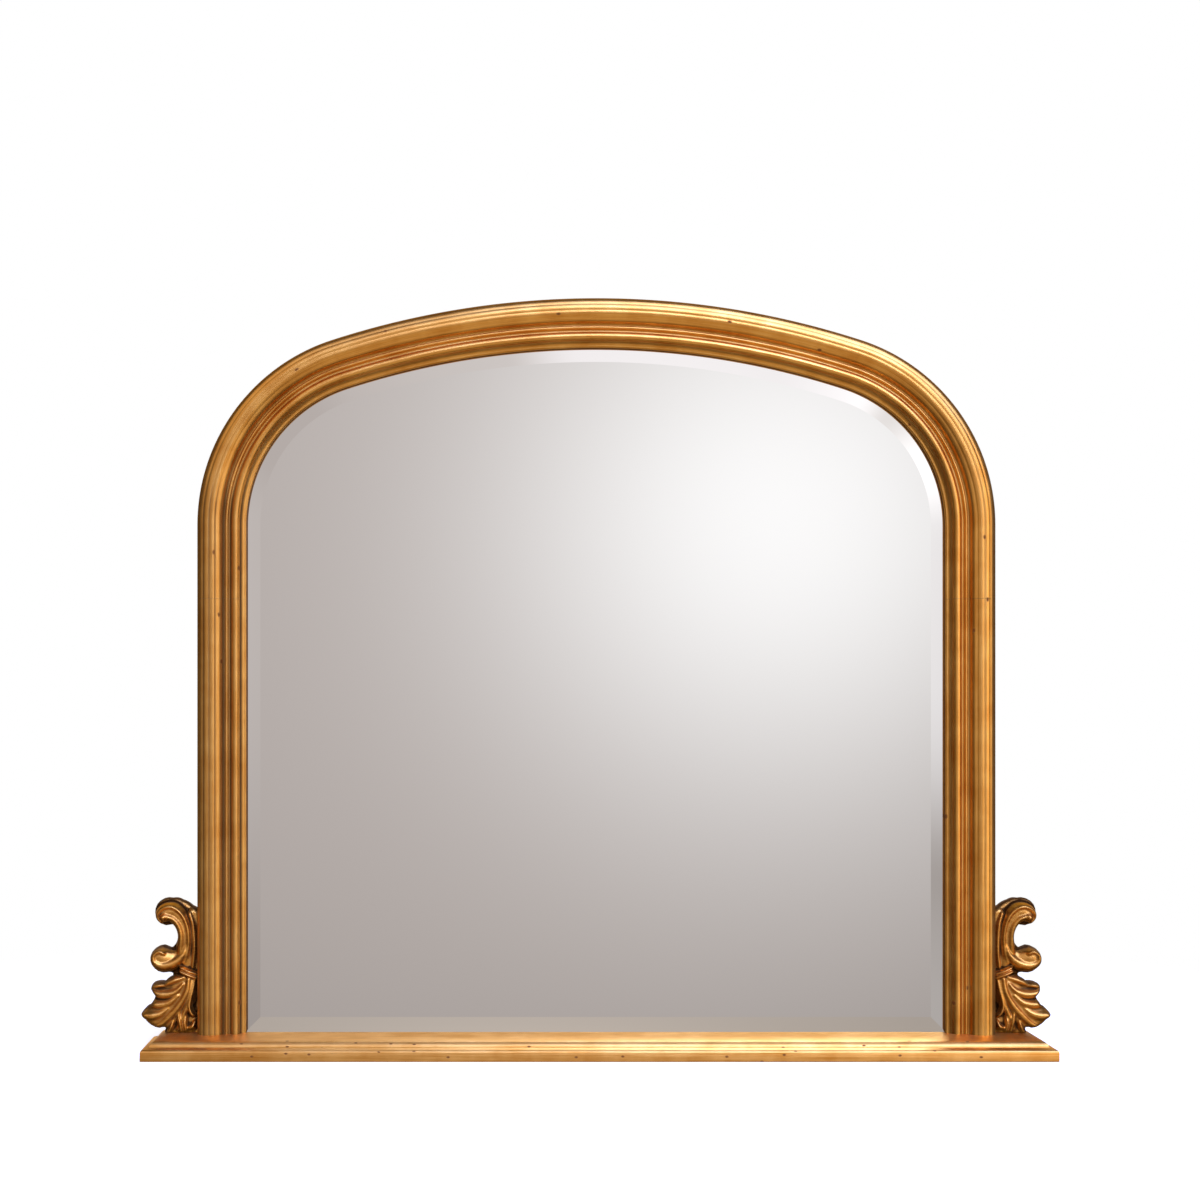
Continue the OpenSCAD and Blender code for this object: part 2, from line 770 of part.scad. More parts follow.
module mending_plate_screws() {
  color(steel) in_face() for (side = [-1, 1]) on_side(side) {
    at_low_seam() at_plate_holes() small_screw();
    at_high_seam() at_plate_holes() small_screw();
  }
}

module base_screws() {
  color(steel) in_face() {
    at_rail_screws() base_screw();
    for (side = [-1, 1]) on_side(side) {
      at_stile_screws() base_screw();
      at_carve_screw() base_screw();
    }
  }
}

// ---- Hangers ------------------------------------------------------------------------------

module hanger_strap(side) {
  color(brass) in_face() on_side(side) at_hanger() difference() {
    union() {
      translate([-strap_w / 2, strap_w / 2 - strap_l, -strap_t])
        cube([strap_w, strap_l - strap_w / 2, strap_t]);
      translate([0, strap_w / 2 - strap_l, -strap_t]) cylinder(d = strap_w, h = strap_t);
      translate([0, 0, -ring_standoff]) rotate([0, 90, 0])
        cylinder(r = barrel_r, h = strap_w, center = true);
    }
    translate([0, 0, -ring_standoff]) rotate([0, 90, 0])
      cylinder(r = eye_r, h = strap_w + 2 * past, center = true);
    at_strap_holes() plate_hole(strap_t);
  }
}

// Ring of round wire: a straight bar in the eye, two bends, two sides and a half circle
module d_ring(side) {
  color(brass) in_face() on_side(side) at_hanger() translate([0, 0, -ring_standoff]) {
    rotate([0, 90, 0]) cylinder(d = ring_wire_d, h = 2 * ring_bar, center = true);
    for (way = [-1, 1]) on_side(way) {
      translate([ring_bar, -ring_corner, 0])
        rotate_extrude(angle = 90) translate([ring_corner, 0]) circle(d = ring_wire_d);
      translate([ring_w / 2, -ring_corner, 0]) rotate([90, 0, 0]) cylinder(d = ring_wire_d, h = ring_side);
    }
    translate([0, -ring_corner - ring_side, 0]) rotate([0, 0, 180])
      rotate_extrude(angle = 180) translate([ring_w / 2, 0]) circle(d = ring_wire_d);
  }
}

module hanger_screws() {
  color(brass) in_face() for (side = [-1, 1]) on_side(side) at_hanger() at_strap_holes() small_screw();
}

module wall_bumpers() {
  color("saddlebrown") in_face() for (side = [-1, 1]) on_side(side)
    translate([half_w + back_mid_u, bumper_y, -rebate_d - bumper_t]) cylinder(d = bumper_d, h = bumper_t);
}

stile(-1);  // left_stile
stile(1);  // right_stile
haunch(-1);  // left_haunch
haunch(1);  // right_haunch
crown_rail();
bottom_rail();
base_plinth();
scroll_carving(-1);  // left_scroll_carving
scroll_carving(1);  // right_scroll_carving
mirror_glass();
rebate_tape();
setting_blocks();
backing_board();
framing_points();
joint_dowels();
carving_dowels();
mending_plates();
mending_plate_screws();
base_screws();
hanger_strap(-1);  // left_hanger_strap
hanger_strap(1);  // right_hanger_strap
d_ring(-1);  // left_d_ring
d_ring(1);  // right_d_ring
hanger_screws();
wall_bumpers();
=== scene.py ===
"""Looks of an arched, gilt overmantel mirror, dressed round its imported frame.

Sizes in the classes are in millimetres and use the plane of the face: x to the right,
y up from the top of the base and z towards the viewer from the front of the glass.
"""

import logging
import math
from collections.abc import Callable, Sequence
from dataclasses import dataclass, field
from enum import Enum
from functools import partial

import bpy
import numpy as np
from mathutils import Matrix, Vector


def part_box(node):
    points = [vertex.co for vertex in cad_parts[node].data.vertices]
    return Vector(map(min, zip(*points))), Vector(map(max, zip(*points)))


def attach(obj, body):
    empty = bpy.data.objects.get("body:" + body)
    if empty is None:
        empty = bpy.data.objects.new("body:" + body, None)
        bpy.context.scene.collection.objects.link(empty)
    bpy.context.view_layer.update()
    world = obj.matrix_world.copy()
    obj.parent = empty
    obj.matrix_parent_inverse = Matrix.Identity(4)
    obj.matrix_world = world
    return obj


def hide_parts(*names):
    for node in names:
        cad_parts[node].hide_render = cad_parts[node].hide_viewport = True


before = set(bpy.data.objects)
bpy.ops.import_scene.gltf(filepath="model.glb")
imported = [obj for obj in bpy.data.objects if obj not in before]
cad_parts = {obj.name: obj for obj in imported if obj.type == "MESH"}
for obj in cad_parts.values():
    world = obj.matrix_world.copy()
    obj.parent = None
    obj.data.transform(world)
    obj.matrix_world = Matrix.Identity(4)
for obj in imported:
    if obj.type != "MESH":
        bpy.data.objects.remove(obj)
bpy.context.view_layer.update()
LOG = logging.getLogger("overmantel_mirror")
MM = 0.001
BODY = "frame"
AddNode = Callable[..., bpy.types.NodeOutputs]
# Layers that the pieces carry and the leaf reads: the flow of the work, the share of dark wash and
# painted shade, and the crests that are rubbed.
FLOW = "flow"
WASH_AND_SHADE_SHARE = "wash_and_shade_share"
CREST = "crest"


class Side(Enum):
    """The two hands of a mirrored piece."""

    LEFT = -1
    RIGHT = 1


# ---- Small tools ----------------------------------------------------------------------------


def linear(hex_colour: str) -> tuple[float, float, float, float]:
    """Turn an sRGB colour into the linear one that a shader wants.

    Args:
        hex_colour: the colour as "#RRGGBB".

    Returns:
        Red, green, blue and alpha, linear, from 0 to 1.
    """
    parts = [int(hex_colour[i : i + 2], 16) / 255 for i in (1, 3, 5)]
    turned = [c / 12.92 if c <= 0.04045 else ((c + 0.055) / 1.055) ** 2.4 for c in parts]
    return (turned[0], turned[1], turned[2], 1.0)


def add_node(
    tree: bpy.types.NodeTree, kind: str, inputs: dict, **settings: object
) -> bpy.types.NodeOutputs:
    """Add a shader node with its settings, and link or set its inputs.

    Args:
        tree: the node tree.
        kind: the node's type name, without the prefix that they all share.
        inputs: socket names or numbers, and for each a socket to link or a value.
        settings: attribute names and values.

    Returns:
        The node's outputs.
    """
    made = tree.nodes.new(f"ShaderNode{kind}")
    for name, value in settings.items():
        setattr(made, name, value)
    for key, value in inputs.items():
        if isinstance(value, bpy.types.NodeSocket):
            tree.links.new(value, made.inputs[key])
        else:
            made.inputs[key].default_value = value
    return made.outputs


def new_material(name: str) -> tuple[bpy.types.Material, AddNode]:
    """Make a material without nodes.

    Args:
        name: the material's name.

    Returns:
        The material, and what adds a node to it.
    """
    made = bpy.data.materials.new(name)
    made.use_nodes = True
    made.node_tree.nodes.clear()
    return made, partial(add_node, made.node_tree)


def per_size(*sizes_mm: float) -> tuple[float, ...]:
    """Give the scales at which a pattern repeats at up to three sizes, in millimetres."""
    return (*(1 / (size * MM) for size in sizes_mm), 1.0, 1.0)[:3]


def bell(at: np.ndarray, middle: float, spread: float) -> np.ndarray:
    """Give a bell curve over places, 1 at its middle."""
    return np.exp(-0.5 * ((at - middle) / spread) ** 2)


def blur_weights(spread: float, step: float, count: int) -> np.ndarray:
    """Give the weights of a blur, which reaches so many steps each way and adds up to 1."""
    weights = bell(np.arange(-count, count + 1) * step, 0, spread)
    return weights / weights.sum()


def to_segment(
    x: np.ndarray, y: np.ndarray, a: np.ndarray, b: np.ndarray
) -> tuple[np.ndarray, np.ndarray]:
    """Measure places against the straight line from one point to another.

    Args:
        x: places across.
        y: places up.
        a: the line's first point.
        b: its last point.

    Returns:
        The share of the line at which each place is nearest, and the distance from there.
    """
    way = b[:2] - a[:2]
    across, up = x - a[0], y - a[1]
    share = np.clip((across * way[0] + up * way[1]) / max(way @ way, 1e-9), 0, 1)
    return share, np.hypot(across - way[0] * share, up - way[1] * share)


def select_only(piece: bpy.types.Object) -> None:
    """Leave one object selected and active.

    Args:
        piece: the object.
    """
    bpy.ops.object.select_all(action="DESELECT")
    piece.select_set(True)
    bpy.context.view_layer.objects.active = piece


def apply_modifier(piece: bpy.types.Object, kind: str, **settings: object) -> None:
    """Add a modifier and apply it.

    Args:
        piece: the object.
        kind: the modifier's type.
        settings: its settings.
    """
    select_only(piece)
    made = piece.modifiers.new(kind.title(), kind)
    for name, value in settings.items():
        setattr(made, name, value)
    bpy.ops.object.modifier_apply(modifier=made.name)


def to_row(points: np.ndarray) -> np.ndarray:
    """Move points of the face, in millimetres, to the shared frame, in metres."""
    glass_y, base_t = ARCH.glass_y, ARCH.base_t
    return np.column_stack([points[:, 0], glass_y - points[:, 2], base_t + points[:, 1]]) * MM


def to_face(points: np.ndarray) -> np.ndarray:
    """Move points of the shared frame, in metres, to those of the face, in millimetres."""
    at = points / MM
    return np.column_stack([at[:, 0], at[:, 2] - ARCH.base_t, ARCH.glass_y - at[:, 1]])


def corners(piece: bpy.types.Object) -> np.ndarray:
    """Read a mesh's vertices.

    Args:
        piece: the object.

    Returns:
        Rows of X, Y and Z in metres.
    """
    flat = np.empty(len(piece.data.vertices) * 3)
    piece.data.vertices.foreach_get("co", flat)
    return flat.reshape(-1, 3)


def set_corners(piece: bpy.types.Object, at: np.ndarray) -> None:
    """Move a mesh's vertices to rows of X, Y and Z in metres."""
    piece.data.vertices.foreach_set("co", np.ascontiguousarray(at, dtype=np.float32).ravel())
    piece.data.update()


def paint(piece: bpy.types.Object, name: str, values: np.ndarray) -> None:
    """Store a number from 0 to 1 for each vertex, for the materials to read."""
    made = piece.data.attributes.get(name) or piece.data.attributes.new(name, "FLOAT", "POINT")
    made.data.foreach_set("value", np.clip(values, 0, 1).astype(np.float32))


def lay_flow(piece: bpy.types.Object, along: np.ndarray, across: np.ndarray) -> None:
    """Store the direction of the work as a UV map, in metres along and across it.

    Args:
        piece: the object.
        along: the distance along the work at each vertex.
        across: the distance across it.
    """
    corner_at = np.empty(len(piece.data.loops), dtype=np.int32)
    piece.data.loops.foreach_get("vertex_index", corner_at)
    layer = piece.data.uv_layers.get(FLOW) or piece.data.uv_layers.new(name=FLOW)
    pairs = np.column_stack([along[corner_at], across[corner_at]]).astype(np.float32)
    layer.data.foreach_set("uv", pairs.ravel())


def arc(
    p: Sequence[float], q: Sequence[float], sag: float, steps: int
) -> list[tuple[float, float]]:
    """Give the points of an arc, without its last one.

    Args:
        p: the first point.
        q: the last point.
        sag: how far it bulges to the right of the way from p to q.
        steps: the number of points.

    Returns:
        The points.
    """
    way = np.subtract(q, p)
    chord = math.hypot(*way)
    side = np.array([way[1], -way[0]]) / chord
    shares = [i / steps for i in range(steps)]
    if abs(sag) < 1e-6:
        return [tuple(np.add(p, way * t)) for t in shares]
    radius = (chord**2 / 4 + sag**2) / (2 * abs(sag))
    centre = np.add(p, q) / 2 + side * (sag - math.copysign(radius, sag))
    start = math.atan2(p[1] - centre[1], p[0] - centre[0])
    turn = math.copysign(4 * math.atan2(abs(sag), chord / 2), sag)
    angles = [start + turn * t for t in shares]
    return [(centre[0] + radius * math.cos(a), centre[1] + radius * math.sin(a)) for a in angles]


def flat_piece(name: str, outline: Sequence[tuple[float, float]]) -> bpy.types.Object:
    """Start a piece as a disc of one face, shaped to an outline in the XY plane.

    Args:
        name: the piece's name.
        outline: its corners, in metres.

    Returns:
        The object, with one face.
    """
    bpy.ops.object.select_all(action="DESELECT")
    bpy.ops.mesh.primitive_circle_add(vertices=len(outline), radius=1, fill_type="NGON")
    piece = bpy.context.active_object
    piece.name = name
    piece.data.name = name
    at = np.zeros((len(outline), 3))
    at[:, :2] = outline
    set_corners(piece, at)
    return piece


def select_all_faces(piece: bpy.types.Object) -> None:
    """Enter edit mode with every face selected.

    Args:
        piece: the object.
    """
    select_only(piece)
    bpy.ops.object.mode_set(mode="EDIT")
    bpy.ops.mesh.select_mode(type="FACE")
    bpy.ops.mesh.select_all(action="SELECT")


def close_edit(piece: bpy.types.Object, angle: float = 35) -> None:
    """Turn the faces outwards, leave edit mode and shade the piece smooth.

    Args:
        piece: the object.
        angle: the least angle of an edge that stays sharp, in degrees.
    """
    if piece.mode != "EDIT":
        select_only(piece)
        bpy.ops.object.mode_set(mode="EDIT")
    bpy.ops.mesh.select_all(action="SELECT")
    bpy.ops.mesh.normals_make_consistent(inside=False)
    bpy.ops.object.mode_set(mode="OBJECT")
    bpy.ops.object.shade_smooth_by_angle(angle=math.radians(angle))


def dress(piece: bpy.types.Object, *finishes: bpy.types.Material) -> None:
    """Give a piece its materials in place of those it has.

    Args:
        piece: the object.
        finishes: the materials, in the order of their slots.
    """
    piece.data.materials.clear()
    for finish in finishes:
        piece.data.materials.append(finish)


def mount_piece(piece: bpy.types.Object, slot: str, *nodes: str) -> None:
    """Let a piece ride on the frame in place of CAD nodes.

    Args:
        piece: the object.
        slot: a material slot's name; not used.
        nodes: the nodes that it stands for.
    """
    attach(piece, BODY)
    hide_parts(*nodes)
    LOG.info("%s stands for %s", piece.name, ", ".join(nodes))


# ---- Sizes that the classes share -------------------------------------------------------------


@dataclass(frozen=True)
class Arch:
    """The opening and the depths that everything is placed by."""

    sight_w: float = 995
    sight_h: float = 975
    crown_rise: float = 253
    haunch_r: float = 207
    haunch_leg: float = 105
    base_t: float = 26
    glass_y: float = 30.25
    rebate_w: float = 7
    rebate_d: float = 20
    moulding_w: float = 68

    @property
    def half_w(self) -> float:
        """Half the opening's width."""
        return self.sight_w / 2

    @property
    def outer_x(self) -> float:
        """Distance of the frame's outer side from the middle."""
        return self.half_w + self.moulding_w

    @property
    def spring_y(self) -> float:
        """Height at which the haunches start to bend."""
        return self.sight_h - self.crown_rise

    @property
    def seam_y(self) -> float:
        """Height of the lower seams."""
        return self.spring_y - self.haunch_leg

    @property
    def haunch_x(self) -> float:
        """Distance of a haunch's centre from the middle."""
        return self.half_w - self.haunch_r

    @property
    def crown_r(self) -> float:
        """Radius of the crown at the sight edge."""
        over = self.haunch_x**2 + self.crown_rise**2 - self.haunch_r**2
        return over / (2 * (self.crown_rise - self.haunch_r))

    @property
    def crown_y(self) -> float:
        """Height of the crown's centre."""
        return self.sight_h - self.crown_r

    @property
    def crown_angle(self) -> float:
        """Half the crown's angle, in radians."""
        return math.atan2(self.haunch_x, self.spring_y - self.crown_y)

    @property
    def haunch_angle(self) -> float:
        """A haunch's angle, in radians."""
        return math.pi / 2 - self.crown_angle

    def outline(self, out: float, foot: float, step: float = 5) -> list[tuple[float, float]]:
        """Follow the arch, moved outwards, from the foot on the right round to the left.

        Args:
            out: the distance outwards from the sight edge.
            foot: the height of the foot.
            step: the distance between points on the arcs.

        Returns:
            The closed outline's points.
        """
        tight, flat = self.haunch_r + out, self.crown_r + out
        n = max(4, int(tight * self.haunch_angle / step))
        m = max(4, int(2 * flat * self.crown_angle / step))
        right = [(self.half_w + out, foot)]
        for i in range(n):
            a = self.haunch_angle * i / n
            right.append((self.haunch_x + tight * math.cos(a), self.spring_y + tight * math.sin(a)))
        top = []
        for i in range(m + 1):
            a = self.haunch_angle + 2 * self.crown_angle * i / m
            top.append((flat * math.cos(a), self.crown_y + flat * math.sin(a)))
        return right + top + [(-x, y) for x, y in reversed(right)]

    def follow(self, at: np.ndarray) -> tuple[np.ndarray, np.ndarray]:
        """Measure points along and across the moulding.

        Args:
            at: rows of x, y and z in the plane of the face.

        Returns:
            The distance along the arch from the foot of the nearer leg to the crown, signed
            by side, and the distance outwards from the sight edge, in millimetres.
        """
        x, y = np.abs(at[:, 0]), at[:, 1]
        mid = self.moulding_w / 2
        turned = np.arctan2(y - self.spring_y, x - self.haunch_x)
        from_crown = np.arctan2(x, y - self.crown_y)
        on_leg = y < self.spring_y
        on_crown = (~on_leg) & (from_crown < self.crown_angle)
        haunch_end = self.spring_y + self.haunch_angle * (self.haunch_r + mid)
        zones = [on_leg, on_crown]
        crown_along = haunch_end + (self.crown_angle - from_crown) * (self.crown_r + mid)
        haunch_along = self.spring_y + turned * (self.haunch_r + mid)
        along = np.select(zones, [y, crown_along], haunch_along)
        crown_out = np.hypot(x, y - self.crown_y) - self.crown_r
        haunch_out = np.hypot(x - self.haunch_x, y - self.spring_y) - self.haunch_r
        out = np.select(zones, [x - self.half_w, crown_out], haunch_out)
        return along * np.where(at[:, 0] < 0, -1, 1), out


ARCH = Arch()


# ---- Finishes ---------------------------------------------------------------------------------


@dataclass(frozen=True)
class AgedLeaf:
    """Water-gilt leaf over gesso and red-brown bole, toned with a dark wash and rubbed back.

    The leaf is a satin metal. The wash stays in the hollows as a dull brown, and the same brown
    is laid as painted shade where each piece paints it: in hollows, troughs, grooves and on sides
    turned from the light. The rubbing shows as fine streaks along the work, and knocks show the
    bole through the leaf. Real streaks and grit are a few tenths of a millimetre wide, too fine to
    show, so they are drawn coarser.
    """

    name: str = "aged_gold_leaf"
    light: str = "#E9AE56"
    mid: str = "#C68230"
    wash: str = "#321B06"
    bole: str = "#7C4A1C"
    edge: str = "#F2C278"
    streak_mm: tuple[float, float] = (95.0, 1.1)
    patch_mm: float = 42.0
    grit_mm: float = 2.2
    nick_mm: tuple[float, float] = (22.0, 12.0)
    bump_mm: float = 0.14
    bump_strength: float = 0.35
    streak_height: float = 0.6
    grit_height: float = 0.4
    streak_weight: float = 0.55
    patch_weight: float = 0.45
    tones: tuple[float, float] = (0.36, 0.62)
    wash_share: float = 0.9
    wash_change: float = 0.30
    nick_share: float = 0.022
    nick_rim: tuple[float, float] = (0.09, 0.19)
    rub_limits: tuple[float, float] = (0.50, 0.66)
    rub_share: float = 0.6
    roughness: float = 0.36
    rough_change: float = 0.16
    dull_rough: float = 0.25
    dull_metal: float = 0.6
    varnish: float = 0.06
    varnish_rough: float = 0.32
    reflectance: float = 0.3

    def build(self) -> bpy.types.Material:
        """Make the material.

        Returns:
            The material.
        """
        made, node = new_material(self.name)
        flow = node("UVMap", {}, uv_map=FLOW)["UV"]
        place = node("TexCoord", {})["Object"]
        wash_and_shade_share = node("Attribute", {}, attribute_name=WASH_AND_SHADE_SHARE)["Fac"]
        run = node("Mapping", {"Vector": flow, "Scale": per_size(*self.streak_mm)})["Vector"]
        streak = node(
            "TexNoise", {"Vector": run, "Scale": 1.0, "Detail": 3.0, "Roughness": 0.6}
        )["Fac"]
        patch = node(
            "TexNoise",
            {"Vector": place, "Scale": 1 / (self.patch_mm * MM), "Detail": 4.0, "Roughness": 0.55},
        )["Fac"]
        grit = node(
            "TexNoise",
            {"Vector": place, "Scale": 1 / (self.grit_mm * MM), "Detail": 2.0, "Roughness": 0.5},
        )["Fac"]

        # leaf: rubbed lighter and darker along the work and in clouds
        tone = node("Math", {0: streak, 1: self.streak_weight}, operation="MULTIPLY")[0]
        tone = node("Math", {0: patch, 1: self.patch_weight, 2: tone}, operation="MULTIPLY_ADD")[0]
        tone = node(
            "MapRange", {"Value": tone, "From Min": self.tones[0], "From Max": self.tones[1]}
        )[0]
        leaf = node(
            "Mix", {0: tone, 6: linear(self.mid), 7: linear(self.light)}, data_type="RGBA"
        )[2]

        # wash and painted shade: they deepen with the share that the piece paints, unevenly along
        # the work
        depth = node(
            "Math",
            {0: streak, 1: self.wash_change, 2: -self.wash_change / 2},
            operation="MULTIPLY_ADD",
        )[0]
        depth = node(
            "Math",
            {0: wash_and_shade_share, 1: self.wash_share, 2: depth},
            operation="MULTIPLY_ADD",
            use_clamp=True,
        )[0]
        depth = node("Math", {0: depth, 1: wash_and_shade_share}, operation="MULTIPLY", use_clamp=True)[0]
        washed_and_shaded = node("Mix", {0: depth, 6: leaf, 7: linear(self.wash)}, data_type="RGBA")[2]

        worn = self._wear(node, flow, patch)
        colour = node("Mix", {0: worn, 6: washed_and_shaded, 7: linear(self.bole)}, data_type="RGBA")[2]
        dull = node("Math", {0: depth, 1: worn}, operation="MAXIMUM", use_clamp=True)[0]
        metallic = node("MapRange", {"Value": dull, "To Min": 1.0, "To Max": self.dull_metal})[0]
        rough = node(
            "Math",
            {0: streak, 1: self.rough_change, 2: self.roughness - self.rough_change / 2},
            operation="MULTIPLY_ADD",
        )[0]
        rough = node(
            "Math",
            {0: dull, 1: self.dull_rough, 2: rough},
            operation="MULTIPLY_ADD",
            use_clamp=True,
        )[0]
        height = node("Math", {0: grit, 1: self.grit_height}, operation="MULTIPLY")[0]
        height = node(
            "Math", {0: streak, 1: self.streak_height, 2: height}, operation="MULTIPLY_ADD"
        )[0]
        bump = node(
            "Bump",
            {"Height": height, "Strength": self.bump_strength, "Distance": self.bump_mm * MM},
        )["Normal"]
        inputs = {
            "Base Color": colour,
            "Metallic": metallic,
            "Roughness": rough,
            "Normal": bump,
            "Specular IOR Level": self.reflectance,
            "Specular Tint": linear(self.edge),
            "Coat Weight": self.varnish,
            "Coat Roughness": self.varnish_rough,
        }
        shader = node("BsdfPrincipled", inputs)["BSDF"]
        node("OutputMaterial", {"Surface": shader})
        return made

    def _wear(
        self, node: AddNode, flow: bpy.types.NodeSocket, patch: bpy.types.NodeSocket
    ) -> bpy.types.NodeSocket:
        """Show where the bole comes through: at nicks, and on crests that are rubbed.

        Args:
            node: what adds a node.
            flow: the place along and across the work.
            patch: the clouds in which the leaf is rubbed.

        Returns:
            The share of bole, from 0 to 1.
        """
        spots = node("Mapping", {"Vector": flow, "Scale": per_size(*self.nick_mm)})["Vector"]
        cells = node(
            "TexVoronoi",
            {"Vector": spots, "Scale": 1.0, "Randomness": 1.0},
            voronoi_dimensions="2D",
        )
        core, rim = self.nick_rim
        limits = {"From Min": core, "From Max": rim, "To Min": 1.0, "To Max": 0.0}
        near = node("MapRange", {"Value": cells["Distance"], **limits})[0]
        chance = node("SeparateColor", {"Color": cells["Color"]})[0]
        picked = node("Math", {0: chance, 1: 1 - self.nick_share}, operation="GREATER_THAN")[0]
        nick = node("Math", {0: near, 1: picked}, operation="MULTIPLY", use_clamp=True)[0]
        crest = node("Attribute", {}, attribute_name=CREST)["Fac"]
        rubbed = node("Math", {0: crest, 1: patch}, operation="MULTIPLY")[0]
        start, full = self.rub_limits
        limits = {"From Min": start, "From Max": full, "To Max": self.rub_share}
        rubbed = node("MapRange", {"Value": rubbed, **limits})[0]
        return node("Math", {0: nick, 1: rubbed}, operation="MAXIMUM", use_clamp=True)[0]


@dataclass(frozen=True)
class Plain:
    """A finish of two tones in one pattern, with a bump of its own."""

    name: str
    dark: str
    light: str
    grain_mm: tuple[float, float, float]
    metallic: float
    roughness: float
    rough_change: float = 0.1
    bump_mm: float = 0.05
    bump_strength: float = 0.5
    tones: tuple[float, float] = (0.35, 0.65)
    ior: float = 1.5

    def build(self) -> bpy.types.Material:
        """Make the material.

        Returns:
            The material.
        """
        made, node = new_material(self.name)
        place = node("TexCoord", {})["Object"]
        run = node("Mapping", {"Vector": place, "Scale": per_size(*self.grain_mm)})["Vector"]
        grain = node(
            "TexNoise", {"Vector": run, "Scale": 1.0, "Detail": 5.0, "Roughness": 0.6}
        )["Fac"]
        tone = node(
            "MapRange", {"Value": grain, "From Min": self.tones[0], "From Max": self.tones[1]}
        )[0]
        colour = node(
            "Mix", {0: tone, 6: linear(self.dark), 7: linear(self.light)}, data_type="RGBA"
        )[2]
        rough = node(
            "Math",
            {0: grain, 1: self.rough_change, 2: self.roughness - self.rough_change / 2},
            operation="MULTIPLY_ADD",
            use_clamp=True,
        )[0]
        bump = node(
            "Bump", {"Height": grain, "Strength": self.bump_strength, "Distance": self.bump_mm * MM}
        )["Normal"]
        inputs = {
            "Base Color": colour,
            "Metallic": self.metallic,
            "Roughness": rough,
            "Normal": bump,
        }
        if self.metallic < 0.5:
            inputs["IOR"] = self.ior
        shader = node("BsdfPrincipled", inputs)["BSDF"]
        node("OutputMaterial", {"Surface": shader})
        return made


@dataclass(frozen=True)
class Silvering:
    """Silvered float glass: a bright mirror with the faint grey of the glass in front of it.

    Float glass is flat to the eye, and its haze changes only over hands' breadths.
    """

    name: str = "silvered_glass"
    tint: str = "#F8F9F9"
    haze: float = 0.012
    haze_change: float = 0.006
    wave_mm: float = 380

    def build(self) -> bpy.types.Material:
        """Make the material.

        Returns:
            The material.
        """
        made, node = new_material(self.name)
        place = node("TexCoord", {})["Object"]
        wave = node(
            "TexNoise", {"Vector": place, "Scale": 1 / (self.wave_mm * MM), "Detail": 1.0}
        )["Fac"]
        rough = node(
            "Math", {0: wave, 1: self.haze_change, 2: self.haze}, operation="MULTIPLY_ADD"
        )[0]
        inputs = {"Base Color": linear(self.tint), "Metallic": 1.0, "Roughness": rough}
        shader = node("BsdfPrincipled", inputs)["BSDF"]
        node("OutputMaterial", {"Surface": shader})
        return made


@dataclass
class Finishes:
    """Every material of the object, each made once."""

    # Burnished leaf on the moulding: long streaks where it was rubbed along its length.
    leaf: bpy.types.Material = field(default_factory=AgedLeaf().build)
    # Leaf on the carving: the wash and the painted shade lie thicker, and gouge marks, drawn 3 mm
    # wide, break the shine into short strokes.
    carved_leaf: bpy.types.Material = field(
        default_factory=AgedLeaf(
            name="carved_gold_leaf",
            light="#E4A44C",
            mid="#B87A2E",
            wash="#3A1E05",
            streak_mm=(9.0, 3.0),
            patch_mm=16.0,
            nick_mm=(14.0, 12.0),
            wash_share=1.0,
            varnish=0.05,
            bump_mm=0.3,
        ).build
    )
    # Leaf on the ledge: dusted and knocked most, so it is matter and has the most nicks. Its leaf
    # and its sheen at grazing angles are paler than the moulding's, a painted highlight for the
    # strong light on the ledge.
    ledge_leaf: bpy.types.Material = field(
        default_factory=AgedLeaf(
            name="ledge_gold_leaf",
            light="#EFB660",
            mid="#CC8832",
            edge="#FBDFB4",
            streak_mm=(140.0, 1.6),
            nick_mm=(16.0, 10.0),
            nick_share=0.08,
            roughness=0.45,
            varnish=0.05,
        ).build
    )
    # Planed deal: pale, with darker late wood about 2.6 mm apart that runs along the length.
    timber: bpy.types.Material = field(
        default_factory=Plain(
            "planed_softwood", "#8E6A42", "#C79D6B", (2.6, 2.6, 90.0), 0.0, 0.62, 0.12, 0.12
        ).build
    )
    rail: bpy.types.Material = field(
        default_factory=Plain(
            "planed_softwood_rail", "#8E6A42", "#C79D6B", (90.0, 2.6, 2.6), 0.0, 0.62, 0.12, 0.12
        ).build
    )
    # Pressed wood fibre: an even dark brown. Its fibres, under 0.5 mm, are drawn at 3 mm.
    hardboard: bpy.types.Material = field(
        default_factory=Plain(
            "pressed_hardboard", "#5B402A", "#7C5A3C", (3.0, 3.0, 3.0), 0.0, 0.55, 0.15, 0.10
        ).build
    )
    # Bright zinc plating: cool grey, clouded. Its crystals, under 1 mm, are drawn at 6 mm.
    zinc: bpy.types.Material = field(
        default_factory=Plain(
            "zinc_plated_steel", "#9A9FA6", "#C3C6C9", (6.0, 6.0, 6.0), 1.0, 0.34, 0.12, 0.02
        ).build
    )
    # Brass plating on drawn wire and stamped strip: warm, and dulled in 7 mm clouds by hands.
    brass: bpy.types.Material = field(
        default_factory=Plain(
            "brass_plated_steel", "#B0863C", "#D9B468", (7.0, 7.0, 7.0), 1.0, 0.28, 0.12, 0.02
        ).build
    )
    # Moulded rubber: near black and matt, with a pale bloom in specks.
    rubber: bpy.types.Material = field(
        default_factory=Plain(
            "moulded_rubber", "#2A201A", "#3E3028", (1.6, 1.6, 1.6), 0.0, 0.72, 0.10, 0.06
        ).build
    )
    # Black foam tape: matt, with open cells. Those, of 0.3 mm, are drawn at 1 mm.
    tape: bpy.types.Material = field(
        default_factory=Plain(
            "black_foam_tape", "#0E0E0E", "#242424", (1.0, 1.0, 1.0), 0.0, 0.85, 0.08, 0.08
        ).build
    )
    mirror: bpy.types.Material = field(default_factory=Silvering().build)


# ---- Moulding ---------------------------------------------------------------------------------


